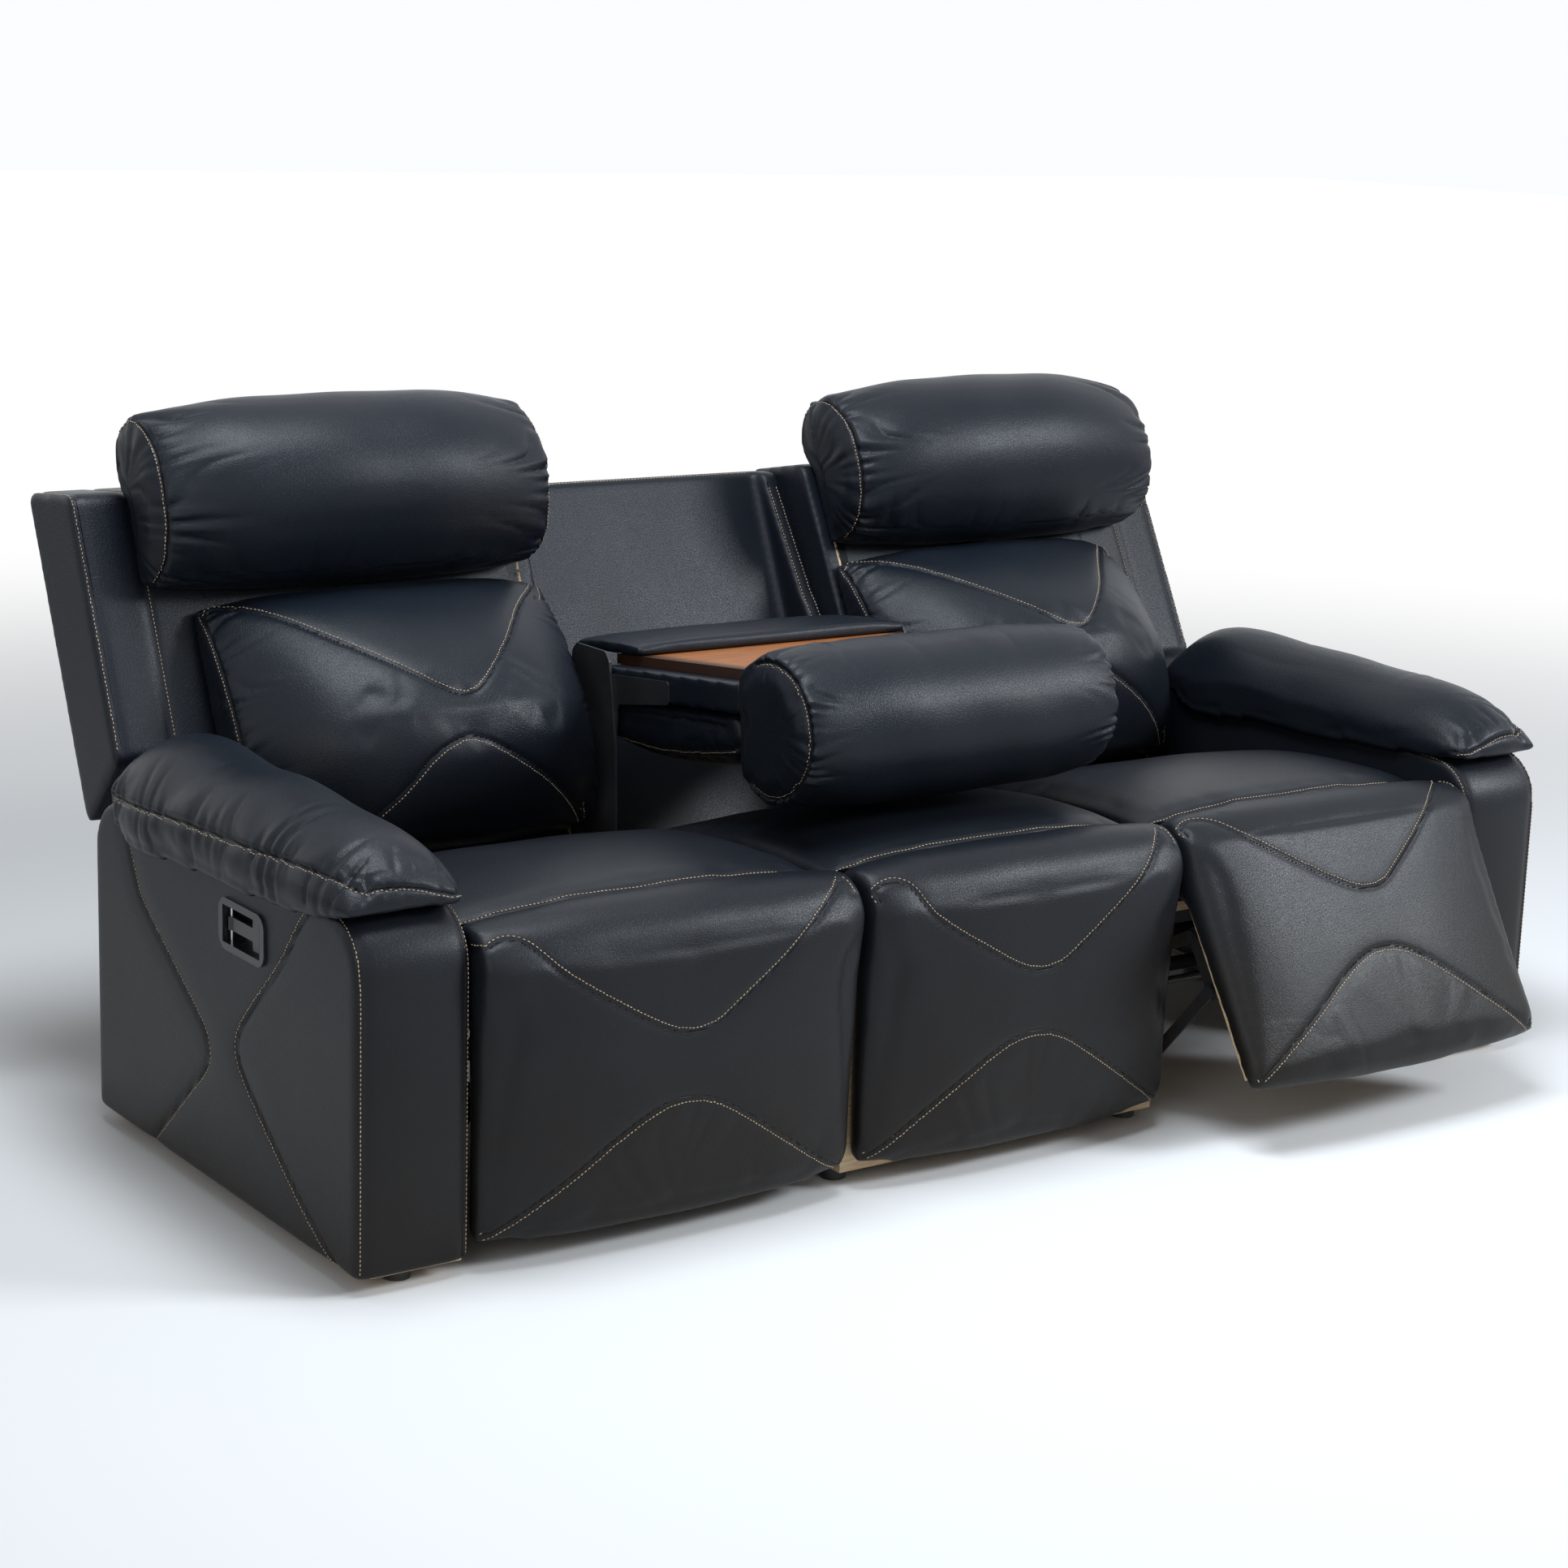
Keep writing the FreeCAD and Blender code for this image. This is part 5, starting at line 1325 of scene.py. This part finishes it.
        tucks = Gather(depth=0.0045, reach=0.06, pitch=0.066, toward=(0, 0, 1), other_side=0.5, shift=0.2)
        self.upholsterer.sew(skin, seams, self.place, self.body, [(tucks, crease)])
        self.upholsterer.deliver(skin, self.body, [f"headrest_cushion_{name}"], stuffing.fill)


# Centre shell and console


@dataclass
class CentreShell:
    """The fixed leather panel behind the console, with its tapering cheeks."""

    upholsterer: Upholsterer
    top: float = 0.835
    low: float = 0.150
    half: float = CENTRE_EDGE - 0.0025
    cheek: float = 0.030

    def build(self) -> None:
        """Builds the panel and cheeks as one leather piece."""
        lean = math.radians(BACK_LEAN)

        def leaning(depth: float, z: float) -> float:
            """Y of a place behind the lean of the backs."""
            return BACK_PIVOT.y + depth / math.cos(lean) + (z - BACK_PIVOT.z) * math.tan(lean)

        panel = [(leaning(0.170, self.low), self.low), (leaning(0.188, self.low), self.low),
                 (leaning(0.188, self.top), self.top), (leaning(0.170, self.top), self.top)]
        cheek = [(0.340, self.low), (0.340, 0.300), (0.356, 0.330), (0.370, 0.440), (0.476, 0.605), (0.492, 0.628),
                 (0.512, 0.650), (leaning(0.150, self.top), self.top - 0.004),
                 (leaning(0.150, self.top) + 0.006, self.top), (leaning(0.186, self.top), self.top),
                 (leaning(0.186, self.low), self.low)]
        parts = [(panel, -self.half, self.half)]
        parts += [(cheek, *sorted((s * (self.half - self.cheek), s * self.half))) for s in (-1, 1)]
        form = blocks(parts, Matrix())
        skin = Skin(shown("rear_shell_casing", rewoven(form, 0.0065, 2)))
        skin.points[:, 0] = np.clip(skin.points[:, 0], -self.half, self.half)
        skin.write()
        seams = []
        for s in (-1, 1):
            for inset, row in ((0.0065, 0.0), (self.cheek - 0.0065, 0.0)):
                x = s * (self.half - inset)
                line = ((x, 0.478, 0.610), (x, 0.512, 0.652), (x, 0.565, 0.745), (x, 0.612, 0.828))
                seams.append(Seam(line, rows=(row,), depth=0.001, valley=0.006))
        ledge = tuple((x, leaning(0.172, self.top) + 0.002, self.top) for x in (-0.24, 0.0, 0.24))
        seams.append(Seam(ledge, rows=(0.0,), depth=0.0008, valley=0.006))
        hem = tuple((x, leaning(0.188, 0.17), 0.17) for x in (-0.27, 0.0, 0.27))
        seams.append(Seam(hem, rows=(0.0,), depth=0.0008, valley=0.006))
        self.upholsterer.sew(skin, seams, Matrix(), "root")
        self.upholsterer.deliver(skin, "root", ["centre_rear_shell"], 0.95)


@dataclass
class Console:
    """The folded centre back: its casing, lumbar pad, headrest roll and the flap over the hinge."""

    upholsterer: Upholsterer
    half: float = 0.2705
    roll_centre: Pair = (-0.430, 0.051)
    roll_radius: float = 0.120
    roll_half: float = 0.277

    @property
    def place(self) -> Matrix:
        """From the console's drawing, which has its pivot at the origin, to the row frame."""
        return hinged(CONSOLE_PIVOT, CONSOLE_TILT)

    def casing(self) -> None:
        """Builds the leather box below the tray."""
        outline = [(-0.350, 0.066), (-0.350, 0.1105), (0.020, 0.1105), (0.012, 0.066)]
        form = blocks([(outline, -self.half + 0.0005, self.half - 0.0005)], self.place)
        skin = Skin(shown("console_casing", rewoven(form, 0.005, 2)))
        drawn = carried(skin.points, self.place.inverted())
        drawn[:, 2] = np.minimum(drawn[:, 2], 0.1108)
        skin.points = carried(drawn, self.place)
        skin.write()
        self.upholsterer.sew(skin, [], self.place, "console")
        self.upholsterer.deliver(skin, "console", ["console_frame"], 0.9)

    def lumbar(self) -> None:
        """Builds the pad under the casing with a stitched boxing."""
        stuffing = Stuffing(voxel=0.0072, draw_in=0.006, swell=0.014, fill=0.8, wrinkle=0.0014)
        hold = kept_between((-0.2705, -0.360, -0.030), (0.2705, 0.034, 0.068), self.place)
        skin = self.upholsterer.filled("console_lumbar", shape_of("console_lumbar_pad"), stuffing, hold)
        seams = []
        for end in (-1, 1):
            puffs = Gather(depth=0.0035, reach=0.035, pitch=0.034, toward=(0, 0, 1), other_side=0.7, shift=0.3)
            line = tuple((end * 0.266, d, h) for d, h in (
                (0.022, 0.000), (-0.10, -0.004), (-0.22, 0.000), (-0.335, 0.014)))
            seams.append(Seam(line, rows=(0.003 * end,), gathers=(puffs,)))
            upper = tuple((end * 0.266, d, h) for d, h in ((0.015, 0.050), (-0.15, 0.048), (-0.30, 0.044)))
            seams.append(Seam(upper, rows=(), depth=0.003))
        self.upholsterer.sew(skin, seams, self.place, "console")
        self.upholsterer.deliver(skin, "console", ["console_lumbar_pad"], stuffing.fill)

    def roll(self) -> None:
        """Builds the headrest roll, gathered all round its end caps."""
        stuffing = Stuffing(voxel=0.0072, draw_in=0.008, swell=0.018, fill=0.85, wrinkle=0.0016)
        box = kept_between((-0.283, -0.560, -0.080), (0.283, -0.300, 0.178), self.place)
        skin = self.upholsterer.filled("console_roll", shape_of("console_headrest_roll"), stuffing, box)
        d0, h0 = self.roll_centre
        seams = []
        for end in (-1, 1):
            pleats = Gather(depth=0.0085, reach=0.060, pitch=0.0205, toward=(-end, 0, 0), other_side=0.30,
                            shift=0.5 * end)
            radius = self.roll_radius * 0.80
            line = tuple(
                (end * (self.roll_half - 0.004), d0 + radius * math.sin(angle), h0 + radius * math.cos(angle))
                for angle in np.linspace(math.radians(20), math.radians(-215), 14)
            )
            seams.append(Seam(line, rows=(0.004 * end,), depth=0.0035, gathers=(pleats,)))
        dents = Seam(tuple((x, d0 + 0.02, h0 + 0.119) for x in (-0.2, 0.0, 0.2)))
        soft = Gather(depth=0.0030, reach=0.13, pitch=0.055, toward=(0, -1, 0), other_side=0.6, shift=0.8)
        self.upholsterer.sew(skin, seams, self.place, "console", [(soft, dents)])
        self.upholsterer.deliver(skin, "console", ["console_headrest_roll"], stuffing.fill)

    def flap(self) -> None:
        """Builds the flat leather flap with its crisp folded edge."""
        stuffing = Stuffing(voxel=0.0048, draw_in=0.001, swell=0.003, pressure=1.0, frames=8, fill=0.9,
                            wrinkle=0.0004)
        hold = kept_between((-0.247, -0.060, 0.1262), (0.247, 0.131, 0.153), self.place)
        skin = self.upholsterer.filled("console_flap", shape_of("console_flap_pad"), stuffing, hold, fine=False)
        self.upholsterer.sew(skin, [], self.place, "console")
        self.upholsterer.deliver(skin, "console", ["console_flap_pad"], stuffing.fill)


# Studio


@dataclass(frozen=True)
class Studio:
    """The floor, the lamps and the camera."""

    place: Triple = (-2.75477, -3.68670, 1.51738)
    yaw: float = 35.41
    pitch: float = -12.96
    roll: float = 1.84
    lens: float = 72.98
    ambient: float = 0.28

    def floor(self) -> None:
        """Lays a plain pale floor."""
        bm = bmesh.new()
        bmesh.ops.create_grid(bm, x_segments=2, y_segments=2, size=30.0)
        mesh = bpy.data.meshes.new("floor")
        bm.to_mesh(mesh)
        bm.free()
        floor = shown("floor", mesh)
        r = Recipe("pale_floor")
        place = r.place()
        across, along = r.axis(place, "X"), r.axis(place, "Y")
        far = ((across * across + along * along) ** 0.5).eased(1.7, 5.5)
        seen = r.out(r.node("ShaderNodeLightPath"), "Is Camera Ray") * far
        mesh.materials.append(r.finish(
            Base_Color=r.blend(seen, (0.80, 0.80, 0.80), (0.0, 0.0, 0.0)), Roughness=0.8,
            Specular_IOR_Level=0.0, Emission_Strength=1.0,
            Emission_Color=r.blend(seen, (0.0, 0.0, 0.0), (1.0, 1.0, 1.0))))

    def lamp(self, name: str, place: Triple, aim: Triple, size: Pair, power: float, colour: Triple) -> None:
        """Hangs one soft rectangular lamp.

        Args:
            name: The lamp's name.
            place: Where it hangs.
            aim: The point that it faces.
            size: Its width and height in metres.
            power: Its strength in watts.
            colour: Its colour.
        """
        light = bpy.data.lights.new(name, "AREA")
        light.shape = "RECTANGLE"
        light.size, light.size_y = size
        light.energy = power
        light.color = colour
        lamp = bpy.data.objects.new(name, light)
        bpy.context.scene.collection.objects.link(lamp)
        lamp.location = place
        lamp.rotation_euler = (Vector(aim) - Vector(place)).to_track_quat("-Z", "Y").to_euler()

    def world(self) -> None:
        """Surrounds the sofa with soft light, in front of a white background."""
        world = bpy.data.worlds.new("studio")
        bpy.context.scene.world = world
        world.use_nodes = True
        tree = world.node_tree
        rays = tree.nodes.new("ShaderNodeLightPath")
        seen = rays.outputs["Is Camera Ray"]
        for ray in ("Is Glossy Ray", "Is Transmission Ray"):
            either = tree.nodes.new("ShaderNodeMath")
            either.operation = "MAXIMUM"
            tree.links.new(seen, either.inputs[0])
            tree.links.new(rays.outputs[ray], either.inputs[1])
            seen = either.outputs[0]
        strength = tree.nodes.new("ShaderNodeMapRange")
        strength.inputs["To Min"].default_value = self.ambient
        strength.inputs["To Max"].default_value = 1.0
        tree.links.new(seen, strength.inputs["Value"])
        background = tree.nodes["Background"]
        background.inputs["Color"].default_value = (0.96, 0.98, 1.0, 1.0)
        tree.links.new(strength.outputs[0], background.inputs["Strength"])

    def camera(self) -> None:
        """Sets the camera where the photograph was taken from."""
        yaw, pitch, roll = (math.radians(angle) for angle in (self.yaw, self.pitch, self.roll))
        ahead = Vector((math.sin(yaw) * math.cos(pitch), math.cos(yaw) * math.cos(pitch), math.sin(pitch)))
        right = Vector((math.cos(yaw), -math.sin(yaw), 0.0))
        up = right.cross(ahead)
        rolled_right = right * math.cos(roll) + up * math.sin(roll)
        rolled_up = up * math.cos(roll) - right * math.sin(roll)
        turn = Matrix((rolled_right, rolled_up, -ahead)).transposed().to_4x4()
        data = bpy.data.cameras.new("camera")
        data.sensor_width = 36.0
        data.lens = self.lens
        camera = bpy.data.objects.new("camera", data)
        bpy.context.scene.collection.objects.link(camera)
        camera.matrix_world = Matrix.Translation(self.place) @ turn
        bpy.context.scene.camera = camera

    def build(self) -> None:
        """Sets up the whole studio."""
        bpy.context.scene.view_settings.view_transform = "Standard"
        self.floor()
        self.world()
        self.camera()
        self.lamp("window", (3.4, -3.2, 2.9), (0.0, 0.0, 0.4), (1.5, 1.1), 200.0, (0.88, 0.94, 1.0))
        self.lamp("overhead", (-0.6, -0.4, 3.4), (0.0, 0.0, 0.4), (1.8, 0.9), 95.0, (0.86, 0.93, 1.0))
        self.lamp("fill", (-3.6, -2.6, 1.8), (0.0, 0.0, 0.5), (1.8, 1.5), 20.0, (1.0, 0.97, 0.93))


def dress_frame(wardrobe: Wardrobe) -> None:
    """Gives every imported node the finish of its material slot."""
    for row in frame["record"]["subparts"]:
        node = frame["nodes"][row["node"]]
        wardrobe.dress(node, CAD_FINISHES[row["material_slot"]])
        LOG.info("%s: %s", row["node"], row["material_slot"])


def main() -> None:
    """Builds the sofa piece by piece, then the studio."""
    logging.basicConfig(level=logging.INFO, format="%(name)s %(message)s")
    wardrobe = Wardrobe()
    wardrobe.stock()
    dress_frame(wardrobe)
    upholsterer = Upholsterer(wardrobe, Stitch())
    outer = (CENTRE_EDGE + SEAT_EDGE) / 2
    seats = [Seat(upholsterer, flank.word, flank.side * outer, (SEAT_EDGE - CENTRE_EDGE) / 2, flank.footrest)
             for flank in Flank]
    seats.append(Seat(upholsterer, "centre", 0.0, CENTRE_EDGE))
    for seat in seats:
        seat.cushion()
        seat.front()
    for flank in Flank:
        arm = Arm(upholsterer, flank)
        arm.casing()
        arm.pillow()
        back = Back(upholsterer, flank)
        back.casing()
        back.lumbar()
        back.headrest()
    CentreShell(upholsterer).build()
    console = Console(upholsterer)
    console.casing()
    console.lumbar()
    console.roll()
    console.flap()
    LOG.info("%d stitches", upholsterer.thread_count)
    Studio().build()
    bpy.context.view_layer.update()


if __name__ == "__main__":
    main()
